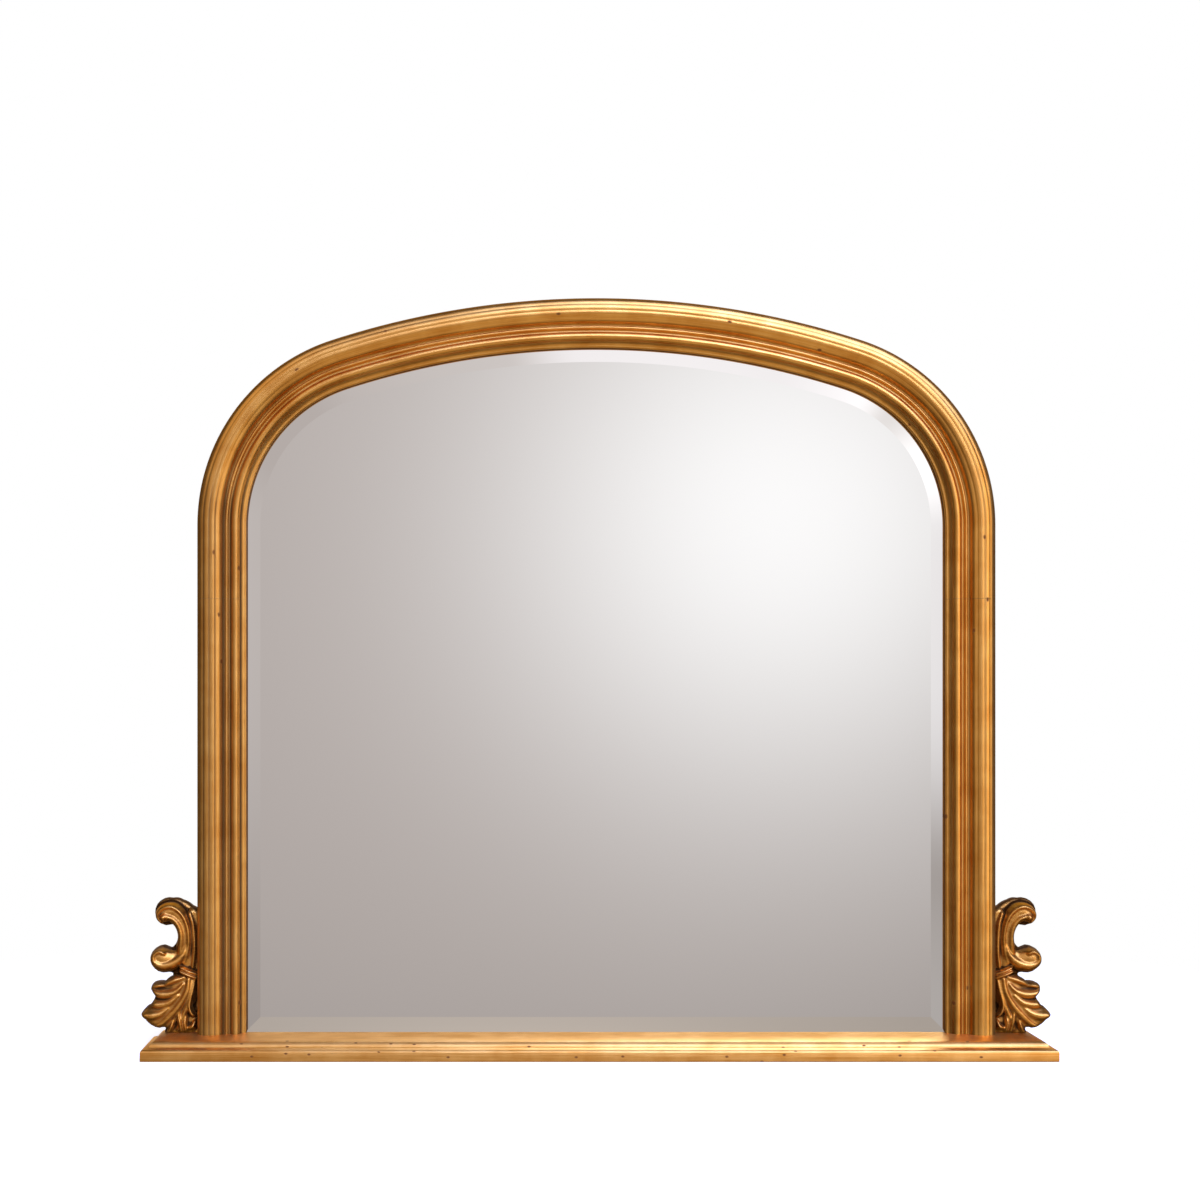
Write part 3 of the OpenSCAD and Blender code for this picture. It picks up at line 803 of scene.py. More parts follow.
@dataclass(frozen=True)
class MouldingWashAndShade:
    """Where the dark wash and the painted shade lie on the moulding, and what share of full wash
    they make there.

    The wash has run into the lower seams and lies in the hollows. Painted shade darkens the
    hollows, the troughs, the small bead, the grooves between the reeds, the sight edge and the
    outer side. It lies heavier on the legs than on the crown, which is lit from above, and
    heaviest on the left leg, which is turned from the light. Places are a middle and a spread,
    outwards from the sight edge, and a pair of shares is the least and what a leg adds to it.
    """

    leg_shade_top: float = 930
    fade_h: float = 180
    right_share: float = 0.1
    leg_shade: float = 0.48
    seam_reach: float = 0.5
    seam_share: float = 0.6
    lip_w: float = 4
    lip_h: float = 9
    hollow_reach: float = 2.6
    hollow_depth: float = 2.8
    hollow_thinner: float = 1.2
    quirk: tuple[float, float] = (21.5, 2.4)
    valley: tuple[float, float] = (31, 2.0)
    valley_share: float = 0.85
    small_bead: tuple[float, float] = (27, 5.5)
    small_bead_share: float = 0.6
    groove: tuple[float, float] = (0.6, 1.5)
    left_side: float = 64
    right_side: float = 57
    right_side_up: float = 8
    side_w: float = 5
    side_shade_share: tuple[float, float] = (0.35, 0.55)
    trough_share: tuple[float, float] = (0.2, 0.8)
    groove_share: tuple[float, float] = (0.2, 0.7)
    crest_rise: float = 1.2
    crest_share: float = 0.8
    crest_from: float = 2

    def wash_and_shade_share(
        self, out: np.ndarray, face: np.ndarray, hollow: np.ndarray, grooves: Sequence[float]
    ) -> np.ndarray:
        """Give the share of wash and painted shade at each vertex.

        Args:
            out: its distance outwards from the sight edge.
            face: its place in the plane of the face.
            hollow: how deep it lies below what is around it.
            grooves: the distances outwards of the grooves between the reeds.

        Returns:
            The shares.
        """
        rise, left = face[:, 1], face[:, 0] < 0
        # Painted shade: heavier on the legs than on the crown, and on the left leg than on the
        # right.
        upright = np.clip((self.leg_shade_top - rise) / self.fade_h, 0, 1)
        thick = upright * np.where(left, 1.0, self.right_share)
        seam = (np.abs(rise - ARCH.seam_y) < self.seam_reach) * self.seam_share
        # Painted shade along the sight edge, near the glass, and down the outer side.
        lip_shade = np.clip((self.lip_h - face[:, 2]) / self.lip_h, 0, 1) * (out < self.lip_w)
        right_side = self.right_side + self.right_side_up * (1 - upright)
        side_at = np.where(left, self.left_side, right_side)
        least, more = self.side_shade_share
        side = np.clip((out - side_at) / self.side_w, 0, 1) * (least + more * upright)
        # Painted shade in the troughs, on the small bead and in the grooves between the reeds.
        troughs = bell(out, *self.quirk) + self.valley_share * bell(out, *self.valley)
        least, more = self.trough_share
        troughs *= least + more * thick
        bead = self.small_bead_share * thick * bell(out, *self.small_bead)
        shift, spread = self.groove
        lines = sum(bell(out, groove + shift, spread) for groove in grooves)
        least, more = self.groove_share
        lines *= (least + more * thick) * upright
        # Wash in the hollows, laid deeper on the left leg as painted shade; the least share all
        # over the left leg is painted shade too.
        washed_and_shaded = hollow / (self.hollow_depth - self.hollow_thinner * thick)
        return np.maximum.reduce([washed_and_shaded, lip_shade, side, troughs, bead, lines, seam, thick * self.leg_shade])

    def crest(self, face: np.ndarray, hollow: np.ndarray) -> np.ndarray:
        """Give how proud each vertex stands, on the front only."""
        proud = np.clip(-hollow / self.crest_rise, 0, 1)
        return proud * (face[:, 2] > self.crest_from) * self.crest_share


@dataclass
class Moulding:
    """The reeded gilt moulding: two stiles, two haunches and the crown rail.

    The section's sizes run from the sight edge outwards. A rise, bulge or sag is how far an arc
    of it bends. Points closer than merge are one, and near is the slack for what lies in a plane.
    """

    finishes: Finishes
    wash: MouldingWashAndShade = MouldingWashAndShade()
    lip_back: float = -0.604
    lip_t: float = 6
    nosing_w: float = 3
    nosing_rise: float = 1.6
    nosing_bulge: float = 0.8
    hollow_w: float = 6
    hollow_sag: float = 2
    inner_bead_w: float = 10.5
    inner_bead_rise: float = 3.6
    inner_seat: float = 17
    quirk_w: float = 5
    quirk_sag: float = 1.8
    small_bead_w: float = 4.5
    small_bead_rise: float = 2.2
    small_bead_drop: float = 1
    valley_w: float = 4
    valley_sag: float = 1.3
    reed_foot_rise: float = 3.5
    reeds_w: float = 33
    reed_count: int = 4
    reeds_crown: float = 7.4
    reed_rise: float = 1.15
    fillet_drop: float = 3
    seam_gap: float = 0.12
    seam_w: float = 0.9
    softness: float = 0.6
    run_step: float = 14
    arc_step: float = 6
    profile_steps: int = 24
    face_step: float = 0.25
    blur_steps: int = 40
    merge: float = 0.01
    near: float = 0.5
    back_shift: float = 90

    @property
    def reeds_foot(self) -> float:
        """Distance outwards at which the reeds start."""
        inner = self.nosing_w + self.hollow_w + self.inner_bead_w
        return inner + self.quirk_w + self.small_bead_w + self.valley_w

    def face_line(self) -> np.ndarray:
        """Give the gilt face of the section, from the sight edge outwards.

        Returns:
            Rows of distance outwards and height, evenly spaced and softened as gesso is.
        """
        bead_u = self.nosing_w + self.hollow_w
        quirk_u = bead_u + self.inner_bead_w
        small_u = quirk_u + self.quirk_w
        valley_u = small_u + self.small_bead_w
        reeds_u = self.reeds_foot
        lip_front = self.lip_back + self.lip_t
        small_seat = self.inner_seat - self.small_bead_drop
        foot = self.inner_seat + self.reed_foot_rise
        radius = ((self.reeds_w / 2) ** 2 + self.reeds_crown**2) / (2 * self.reeds_crown)
        half = math.atan2(self.reeds_w / 2, radius - self.reeds_crown)
        mid = (reeds_u + self.reeds_w / 2, foot + self.reeds_crown - radius)
        edges = [
            (mid[0] + radius * math.sin(a), mid[1] + radius * math.cos(a))
            for a in (half * (2 * i / self.reed_count - 1) for i in range(self.reed_count + 1))
        ]
        knots = [
            ((0, self.lip_back), 0),
            ((0, lip_front), -self.nosing_bulge),
            ((self.nosing_w, lip_front + self.nosing_rise), self.hollow_sag),
            ((bead_u, self.inner_seat), -self.inner_bead_rise),
            ((quirk_u, self.inner_seat), self.quirk_sag),
            ((small_u, small_seat), -self.small_bead_rise),
            ((valley_u, small_seat), self.valley_sag),
            *[(edge, -self.reed_rise) for edge in edges[:-1]],
            (edges[-1], 0),
            ((ARCH.moulding_w, foot - self.fillet_drop), 0),
            ((ARCH.moulding_w, -ARCH.rebate_d), 0),
        ]
        rough = []
        for (p, sag), (q, _) in zip(knots, knots[1:]):
            rough += arc(p, q, sag, self.profile_steps)
        rough.append(knots[-1][0])
        return self._soften(np.array(rough, dtype=float))

    def _soften(self, line: np.ndarray) -> np.ndarray:
        """Space a line evenly and round its corners, with its ends left in place.

        Args:
            line: the points.

        Returns:
            The rounded line, with every second point on the front and every twelfth behind.
        """
        step = self.face_step
        length = np.concatenate([[0], np.cumsum(np.hypot(*np.diff(line, axis=0).T))])
        at = np.arange(0, length[-1], step)
        even = np.column_stack([np.interp(at, length, line[:, k]) for k in (0, 1)])
        reach = int(3 * self.softness / step)
        weights = blur_weights(self.softness, step, reach)
        padded = np.vstack([np.repeat(even[:1], reach, 0), even, np.repeat(line[-1:], reach, 0)])
        soft = np.column_stack([np.convolve(padded[:, k], weights, "valid") for k in (0, 1)])
        soft[:, 0] = np.clip(soft[:, 0], 0, ARCH.moulding_w)
        front = soft[:, 1] > 0
        keep = [i for i in range(len(soft)) if i % (2 if front[i] else 12) == 0]
        return np.vstack([line[:1], soft[keep[1:]], line[-1:]])

    def section(self) -> np.ndarray:
        """Close the face with the back and the rebate, as rows of distance and height."""
        back = [(ARCH.rebate_w, -ARCH.rebate_d), (ARCH.rebate_w, self.lip_back)]
        return np.vstack([self.face_line(), back])

    def build(self) -> list[bpy.types.Object]:
        """Make the five lengths of moulding.

        Returns:
            The pieces.
        """
        section = self.section()
        made = []
        for side in Side:
            hand = side.name.lower()
            made.append(self._stile(f"{hand}_stile_moulding", section, side))
            mount_piece(made[-1], "gilt", f"{hand}_stile")
            made.append(self._haunch(f"{hand}_haunch_moulding", section, side))
            mount_piece(made[-1], "gilt", f"{hand}_haunch")
        made.append(self._crown("crown_rail_moulding", section))
        mount_piece(made[-1], "gilt", "crown_rail")
        return made

    def _start(self, name: str, section: np.ndarray) -> bpy.types.Object:
        """Lay the section flat, in metres, ready to be moved to its place."""
        return flat_piece(name, [(u * MM, z * MM) for u, z in section])

    def _draw(self, step: float, steps: int = 1) -> None:
        """Extrude what is selected upwards by so many steps, in millimetres."""
        for _ in range(steps):
            bpy.ops.mesh.extrude_region_move(TRANSFORM_OT_translate={"value": (0, 0, step * MM)})

    def _stand(self, piece: bpy.types.Object, foot: float) -> None:
        """Move the flat section to a height on the right leg, in the shared frame.

        Args:
            piece: the piece.
            foot: the height of the section in the plane of the face.
        """
        at = corners(piece) / MM
        heights = np.full(len(at), foot)
        set_corners(piece, to_row(np.column_stack([ARCH.half_w + at[:, 0], heights, at[:, 1]])))

    def _stile(self, name: str, section: np.ndarray, side: Side) -> bpy.types.Object:
        """Draw a stile up from the base to its seam.

        Args:
            name: the piece's name.
            section: the section.
            side: the hand.

        Returns:
            The piece.
        """
        piece = self._start(name, section)
        self._stand(piece, 0)
        length = ARCH.seam_y - self.seam_gap - self.seam_w
        steps = round(length / self.run_step)
        select_all_faces(piece)
        self._draw(length / steps, steps)
        self._draw(self.seam_w)
        return self._finish(piece, side)

    def _haunch(self, name: str, section: np.ndarray, side: Side) -> bpy.types.Object:
        """Draw a haunch up from its seam and bend it round to the crown.

        Args:
            name: the piece's name.
            section: the section.
            side: the hand.

        Returns:
            The piece.
        """
        piece = self._start(name, section)
        self._stand(piece, ARCH.seam_y)
        select_all_faces(piece)
        leg = ARCH.haunch_leg - self.seam_w
        steps = round(leg / self.run_step)
        self._draw(self.seam_w)
        self._draw(leg / steps, steps)
        angle = ARCH.haunch_angle - self.seam_gap / ARCH.haunch_r
        steps = round(angle * ARCH.haunch_r / self.arc_step)
        centre = to_row(np.array([[ARCH.haunch_x, ARCH.spring_y, 0.0]]))[0]
        bpy.ops.mesh.spin(steps=steps, angle=angle, center=tuple(centre), axis=(0, 1, 0))
        return self._finish(piece, side)

    def _crown(self, name: str, section: np.ndarray) -> bpy.types.Object:
        """Bend the crown rail from one high seam to the other.

        Args:
            name: the piece's name.
            section: the section.

        Returns:
            The piece.
        """
        piece = self._start(name, section)
        at = corners(piece) / MM
        out = ARCH.crown_r + at[:, 0]
        turn = ARCH.crown_angle
        up = ARCH.crown_y + out * math.cos(turn)
        set_corners(piece, to_row(np.column_stack([out * math.sin(turn), up, at[:, 1]])))
        select_all_faces(piece)
        steps = round(2 * turn * ARCH.crown_r / (1.5 * self.arc_step))
        centre = to_row(np.array([[0.0, ARCH.crown_y, 0.0]]))[0]
        bpy.ops.mesh.spin(steps=steps, angle=2 * turn, center=tuple(centre), axis=(0, 1, 0))
        self._finish(piece, Side.RIGHT)
        piece.data.materials[1] = self.finishes.rail
        return piece

    def _finish(self, piece: bpy.types.Object, side: Side) -> bpy.types.Object:
        """Merge, mirror and shade a length, and mark its wash and painted shade, its crests and its
        direction.

        Args:
            piece: the piece in edit mode.
            side: the hand.

        Returns:
            The piece.
        """
        bpy.ops.mesh.select_all(action="SELECT")
        bpy.ops.mesh.remove_doubles(threshold=self.merge * MM)
        bpy.ops.object.mode_set(mode="OBJECT")
        at = corners(piece)
        at[:, 0] *= side.value
        set_corners(piece, at)
        close_edit(piece)
        face = to_face(corners(piece))
        along, out = ARCH.follow(face)
        self._mark(piece, out, face)
        # Behind the glass, the pattern is moved on, so that it isn't the front's again.
        across = out + np.where(face[:, 2] < 0, self.back_shift, 0)
        lay_flow(piece, along * MM, across * MM)
        dress(piece, self.finishes.leaf, self.finishes.timber)
        self._bare_back(piece)
        return piece

    def _mark(self, piece: bpy.types.Object, out: np.ndarray, face: np.ndarray) -> None:
        """Store the share of wash and painted shade at each vertex, and how proud on a crest it
        lies.

        Args:
            piece: the piece.
            out: the distance of each vertex outwards from the sight edge.
            face: its place in the plane of the face.
        """
        line = self.face_line()
        grid = np.arange(0, ARCH.moulding_w, self.face_step)
        up = np.interp(grid, line[:, 0], line[:, 1])
        weights = blur_weights(self.wash.hollow_reach, self.face_step, self.blur_steps)
        mean = np.convolve(np.pad(up, self.blur_steps, mode="edge"), weights, "valid")
        hollow = np.interp(out, grid, mean - up)
        reed_w = self.reeds_w / self.reed_count
        grooves = [self.reeds_foot + reed_w * k for k in range(1, self.reed_count)]
        paint(piece, WASH_AND_SHADE_SHARE, self.wash.wash_and_shade_share(out, face, hollow, grooves))
        paint(piece, CREST, self.wash.crest(face, hollow))

    def _bare_back(self, piece: bpy.types.Object) -> None:
        """Leave the back and the rebate as bare timber.

        Args:
            piece: the piece.
        """
        back = (ARCH.glass_y + ARCH.rebate_d - self.near) * MM
        front = (ARCH.glass_y + 2 * self.near) * MM
        middles = np.empty(len(piece.data.polygons) * 3)
        piece.data.polygons.foreach_get("center", middles)
        middles = middles.reshape(-1, 3)
        out = ARCH.follow(to_face(middles))[1]
        inside = (middles[:, 1] > front) & (out < ARCH.rebate_w + self.near)
        bare = (middles[:, 1] > back) | inside
        piece.data.polygons.foreach_set("material_index", bare.astype(np.int32))


# ---- Base -------------------------------------------------------------------------------------


@dataclass
class BaseLedge:
    """The wide moulded ledge that the frame stands on.

    Wash and painted shade lie in its quirk, a painted shadow lies along its foot at the floor, and
    its arris is rubbed. Their places are a middle and a spread, upwards or inwards.
    """

    finishes: Finishes
    node: str = "base_plinth"
    edge_softness: float = 1.8
    merge: float = 0.01
    near: float = 0.3
    quirk_up: tuple[float, float] = (18.2, 0.9)
    quirk_in: tuple[float, float] = (10.6, 1.4)
    quirk_shade_share: float = 0.1
    foot_shadow_h: float = 1.4
    foot_shadow_share: float = 0.9
    arris_up: tuple[float, float] = (12.8, 0.9)
    arris_w: float = 1.6
    arris_share: float = 0.9

    def build(self) -> bpy.types.Object:
        """Round the ledge's edges and gild it.

        Returns:
            The piece.
        """
        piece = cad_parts[self.node].copy()
        piece.data = piece.data.copy()
        for key in list(piece.keys()):
            del piece[key]
        piece.name = "moulded_base_ledge"
        piece.data.name = piece.name
        bpy.context.scene.collection.objects.link(piece)
        piece.parent = None
        select_all_faces(piece)
        bpy.ops.mesh.remove_doubles(threshold=self.merge * MM)
        bpy.ops.mesh.dissolve_limited(angle_limit=math.radians(1))
        bpy.ops.object.mode_set(mode="OBJECT")
        apply_modifier(
            piece,
            "BEVEL",
            width=self.edge_softness * MM,
            segments=3,
            limit_method="ANGLE",
            angle_limit=math.radians(24),
            use_clamp_overlap=True,
        )
        close_edit(piece, angle=40)
        self._mark(piece)
        dress(piece, self.finishes.ledge_leaf, self.finishes.timber)
        back = (ARCH.glass_y + ARCH.rebate_d - self.near) * MM
        for face in piece.data.polygons:
            under = face.normal.z < -0.9 and face.center.z < 1 * MM
            face.material_index = 1 if under or face.center.y > back else 0
        piece.visible_glossy = False
        mount_piece(piece, "gilt", self.node)
        return piece

    def _mark(self, piece: bpy.types.Object) -> None:
        """Mark the wash and painted shade in the ledge's quirk, the painted shadow along its foot,
        its rubbed arrises and its direction.

        Args:
            piece: the piece.
        """
        at = corners(piece) / MM
        low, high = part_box(self.node)
        half = high.x / MM
        front = at[:, 1] - low.y / MM
        end = half - np.abs(at[:, 0])
        inset = np.minimum(front, end)
        up = at[:, 2]
        # Painted shade in the quirk, and a painted shadow along the foot where the ledge meets the
        # floor.
        quirk = bell(up, *self.quirk_up) * bell(inset, *self.quirk_in) * self.quirk_shade_share
        foot = np.clip((self.foot_shadow_h - up) / self.foot_shadow_h, 0, 1) * self.foot_shadow_share
        paint(piece, WASH_AND_SHADE_SHARE, np.maximum(quirk, foot))
        arris = bell(up, *self.arris_up) * (inset < self.arris_w)
        paint(piece, CREST, arris * self.arris_share)
        on_end = end < front
        along = np.where(on_end, at[:, 1], at[:, 0])
        lay_flow(piece, along * MM, (inset + up) * MM)


# ---- Carving ----------------------------------------------------------------------------------


@dataclass(frozen=True)
class Stroke:
    """One pass of the gouge left standing as a rounded ridge.

    Each knot is x, y, half width and height, in millimetres, from the stile's outer side and
    the top of the base.
    """

    knots: tuple[tuple[float, float, float, float], ...]
    roundness: float = 2.0


@dataclass
class ReliefMap:
    """Heights of the relief on a fine grid, built up stroke by stroke."""

    width: float
    height: float
    cell: float = 0.4
    margin: float = 4.0

    def __post_init__(self) -> None:
        """Lay out the grid."""
        self.xs = np.arange(-self.margin, self.width + self.margin, self.cell)
        self.ys = np.arange(-self.margin, self.height + self.margin, self.cell)
        self.up = np.zeros((len(self.ys), len(self.xs)))

    def raise_stroke(self, stroke: Stroke) -> None:
        """Raise the grid to a stroke wherever the stroke stands higher.

        Args:
            stroke: the stroke.
        """
        path = self._smooth(np.array(stroke.knots, dtype=float))
        low, high = path.min(axis=0), path.max(axis=0)
        middle, half_box = (low + high) / 2, (high - low) / 2 + high[2]
        i = np.flatnonzero(np.abs(self.xs - middle[0]) < half_box[0])
        j = np.flatnonzero(np.abs(self.ys - middle[1]) < half_box[1])
        gx, gy = np.meshgrid(self.xs[i], self.ys[j])
        best = np.zeros_like(gx)
        for a, b in zip(path, path[1:]):
            share, apart = to_segment(gx, gy, a, b)
            half = a[2] + (b[2] - a[2]) * share
            tall = a[3] + (b[3] - a[3]) * share
            rise = tall * np.clip(1 - (apart / half) ** 2, 0, 1) ** (stroke.roundness / 2)
            best = np.maximum(best, rise)
        block = self.up[np.ix_(j, i)]
        self.up[np.ix_(j, i)] = np.maximum(block, best)

    def _smooth(self, knots: np.ndarray, pieces: int = 8) -> np.ndarray:
        """Run a smooth line through knots.

        Args:
            knots: rows of x, y, half width and height.
            pieces: points for each stretch.

        Returns:
            The points.
        """
        ends = np.vstack([2 * knots[0] - knots[1], knots, 2 * knots[-1] - knots[-2]])
        made = []
        for p0, p1, p2, p3 in zip(ends, ends[1:], ends[2:], ends[3:]):
            for t in np.arange(pieces) / pieces:
                bend = (2 * p0 - 5 * p1 + 4 * p2 - p3) * t**2 + (3 * p1 - p0 - 3 * p2 + p3) * t**3
                made.append((2 * p1 + (p2 - p0) * t + bend) / 2)
        return np.array([*made, knots[-1]])

    def blurred(self, values: np.ndarray, reach: float) -> np.ndarray:
        """Blur a grid.

        Args:
            values: the grid.
            reach: the blur's standard deviation in millimetres.

        Returns:
            The blurred grid.
        """
        n = int(3 * reach / self.cell)
        weights = blur_weights(reach, self.cell, n)

        def blur(line: np.ndarray) -> np.ndarray:
            """Blur one row or column, with its end values carried on."""
            return np.convolve(np.pad(line, n, mode="edge"), weights, "valid")

        return np.apply_along_axis(blur, 0, np.apply_along_axis(blur, 1, values))

    def sample(self, values: np.ndarray, x: np.ndarray, y: np.ndarray) -> np.ndarray:
        """Read a grid between its points.

        Args:
            values: the grid.
            x: places across.
            y: places up.

        Returns:
            The values there.
        """
        fx = np.clip((x - self.xs[0]) / self.cell, 0, len(self.xs) - 1.001)
        fy = np.clip((y - self.ys[0]) / self.cell, 0, len(self.ys) - 1.001)
        i, j = fx.astype(int), fy.astype(int)
        tx, ty = fx - i, fy - j
        low = values[j, i] * (1 - tx) + values[j, i + 1] * tx
        high = values[j + 1, i] * (1 - tx) + values[j + 1, i + 1] * tx
        return low * (1 - ty) + high * ty


@dataclass
class ScrollCarving:
    """The carved scroll and acanthus leaf beside each foot of the frame.

    Each knot of the silhouette is x, y and how far the line to the next one bulges.
    """

    finishes: Finishes
    width: float = 82
    height: float = 191
    back: float = -14
    ground: float = 0.5
    relief: float = 22
    voxel: float = 0.65
    softness: float = 0.95
    rim_w: float = 6.5
    rim_drop: float = 6.0
    rim_relief: float = 0.25
    # Wash in the hollows, with painted shade, and the least wash everywhere.
    hollow_reach: float = 2.8
    wash_depth: float = 1.7
    wash_film: float = 0.05
    least_wash: float = 0.26
    # Painted shade down the sides behind the ground and round the margin of the silhouette.
    rear_depth: float = 6
    rear_shade_share: float = 0.9
    margin_w: float = 5.5
    margin_start: float = 1.25
    margin_shade_share: float = 0.95
    crest_rise: float = 2.8
    slant: tuple[float, float] = (0.3, 0.2)
    near: float = 0.4
    silhouette: tuple[tuple[float, float, float], ...] = (
        (0, 0, 0), (50, 0, 0), (47.5, 6.5, -0.6), (56, 5.5, 0), (66, 8.5, 1), (77, 18, 1.2),
        (82, 27, 0.8), (73, 37.5, -1), (66, 44, -0.8), (63, 52, -0.6), (69, 61, 0.8),
        (65, 70, 1.5), (49, 72, 0.8), (39, 79.5, -1.5), (38.5, 84, -0.6), (46, 84.5, 22),
        (50, 123.5, 0), (40, 119.5, -8.5), (38, 153, 0), (48, 151.5, 20.5), (38, 190.5, 1.5),
        (24, 188, 1), (10, 180, 0), (0, 175, 0),
    )  # fmt: skip
    strokes: tuple[Stroke, ...] = (
        # bodies that the gouge leaves under everything: leaf, foot, scroll, volute and web
        Stroke(((16, 78, 12, 11), (24, 58, 22, 13), (36, 40, 26, 13.8), (52, 28, 24, 13.8),
                (64, 26, 16, 12.5)), 0.8),
        Stroke(((30, 68, 12, 9), (46, 64, 11, 10), (60, 62, 10, 9)), 0.8),
        Stroke(((12, 30, 10, 6), (16, 12, 14, 7), (30, 8, 14, 7)), 1),
        Stroke(((18, 96, 10, 9), (18, 120, 11, 12), (18, 140, 11.5, 14), (24, 160, 12.5, 15.5),
                (36, 172, 14, 16), (47, 170, 13, 16)), 1),
        Stroke(((22, 112, 10, 9), (36, 104, 13, 12), (50, 105, 16, 15.5), (54, 106, 16, 16)),
                0.8),
        Stroke(((3, 90, 8, 5), (3, 150, 9, 6), (6, 172, 8, 6)), 1),
        # outer ridge of the scroll, over the top and under its eye
        Stroke(((20, 100, 5, 11), (15, 115, 6, 13.5), (13, 132, 6.4, 15.5), (14.5, 150, 6.4, 17),
                (19.5, 164.5, 6.4, 18), (28, 175, 6.4, 18.5), (38, 180, 6.4, 19),
                (48, 178.5, 6.2, 19), (55.5, 172, 5.6, 18.5), (57.5, 164, 4.8, 17),
                (53, 157.5, 4, 16))),
        # rounded band that catches the light along the mouth of the scroll, and its eye
        Stroke(((26, 110, 7, 12.5), (24, 126, 9, 16), (24, 142, 9.6, 18), (27.5, 154, 9.4, 19),
                (34.5, 162.5, 8.6, 19.5), (43, 166, 7.6, 20))),
        Stroke(((47, 166, 7.4, 21.5), (49, 165, 7.4, 22)), 1.2),
        # strands that climb the web
        Stroke(((8, 94, 5, 10), (5.5, 115, 5.6, 11.5), (5.5, 135, 5.8, 12), (7.5, 155, 5.4, 11.5),
                (12, 170, 4.8, 9.5))),
        # lower volute: one fat roll that closes on itself round a dimple
        Stroke(((16, 128, 6, 13), (20, 114, 8.5, 15.5), (28, 104, 10.5, 17), (40, 98, 11, 18),
                (52, 97, 11, 18.5), (61.5, 102, 9.5, 18.5), (62.5, 111, 8, 18.5),
                (55, 116.5, 7, 18.5), (48, 113.5, 5.5, 18)), 2),
        Stroke(((54, 106, 15, 13), (55, 106, 15, 13)), 0.9),
        # collar
        Stroke(((1.5, 78.5, 3.4, 14), (12, 82.5, 3.8, 18), (25, 88, 3.4, 17)), 1.2),
        Stroke(((1.5, 84.5, 3.2, 15), (12, 88.5, 3.6, 18.5), (24, 93.5, 3.2, 17)), 1.2),
        # leaf: two ribs, and the folds that leave them from the top down
        Stroke(((13, 77, 7, 15), (15, 62, 9, 16.5), (20.5, 49, 10, 17.5), (29, 36.5, 10.5, 18),
                (39.5, 25.5, 10.5, 17.5), (50, 16, 9, 16), (60, 10, 7, 14))),
        Stroke(((8.5, 76, 5, 12), (10, 58, 6.5, 14), (14, 43, 7, 14.5), (19, 30, 7, 14.5),
                (24, 18, 6.5, 13.5), (28, 6, 6, 12))),
        Stroke(((20, 79, 6, 13), (31, 76, 8, 15), (44, 73, 9, 16), (56, 70, 8.5, 16),
                (65, 67, 6, 14))),
        Stroke(((21, 70, 6, 15), (30, 60.5, 8.5, 17), (42, 56, 10.5, 18.5), (53, 56, 10, 18.5),
                (62, 58.5, 8, 16.5))),
        Stroke(((28, 54, 8, 15.5), (40, 44, 10, 17.5), (53, 41, 10.5, 18), (64, 41.5, 9, 17),
                (71, 41, 6.5, 14))),
        Stroke(((42, 36, 8, 15.5), (54, 28, 11, 18), (66, 25.5, 12, 19.5), (76, 26.5, 9, 18),
                (81, 27.5, 6, 15))),
        # tendril that hangs from the collar beside the stile and curls up
        Stroke(((4.5, 77, 3.6, 12), (7, 62, 4, 14), (10.5, 48, 4.4, 15.5), (12, 39, 4.6, 16.5),
                (9.5, 30, 4.4, 17), (6, 26, 3.8, 16.5)), 1.6),
        # leaflets that stand on the base
        Stroke(((24, 36, 4, 13), (27, 26, 5, 15.5), (25, 14, 5.4, 16.5), (23, 4, 4.6, 14)), 1.6),
        Stroke(((17, 25, 3.8, 12), (18.5, 15, 4.6, 15), (17, 5, 4.4, 14)), 1.6),
        Stroke(((4.5, 17, 3.4, 11), (7.5, 10, 4.8, 15.5), (12.5, 8, 4, 14)), 1.6),
        Stroke(((35, 18, 4, 12.5), (38, 9, 4.6, 14.5), (42, 2, 3.8, 12.5)), 1.6),
    )  # fmt: skip

    def outline(self, steps: int = 10) -> np.ndarray:
        """Follow the silhouette.

        Args:
            steps: points for each stretch.

        Returns:
            The points.
        """
        made = []
        knots = self.silhouette
        for k, (x, y, sag) in enumerate(knots):
            nxt = knots[(k + 1) % len(knots)]
            made += arc((x, y), nxt[:2], sag, steps)
        return np.array(made)

    def edge_distance(self, x: np.ndarray, y: np.ndarray, rim: np.ndarray) -> np.ndarray:
        """Measure the distance of places from the silhouette, but not from stile or base.

        Args:
            x: places across.
            y: places up.
            rim: the silhouette's points.

        Returns:
            The distances.
        """
        best = np.full(x.shape, 1e9)
        for a, b in zip(rim, np.roll(rim, -1, axis=0)):
            against_stile, on_base = np.maximum(a, b) < 0.01
            if against_stile or on_base:
                continue
            best = np.minimum(best, to_segment(x, y, a, b)[1])
        return best

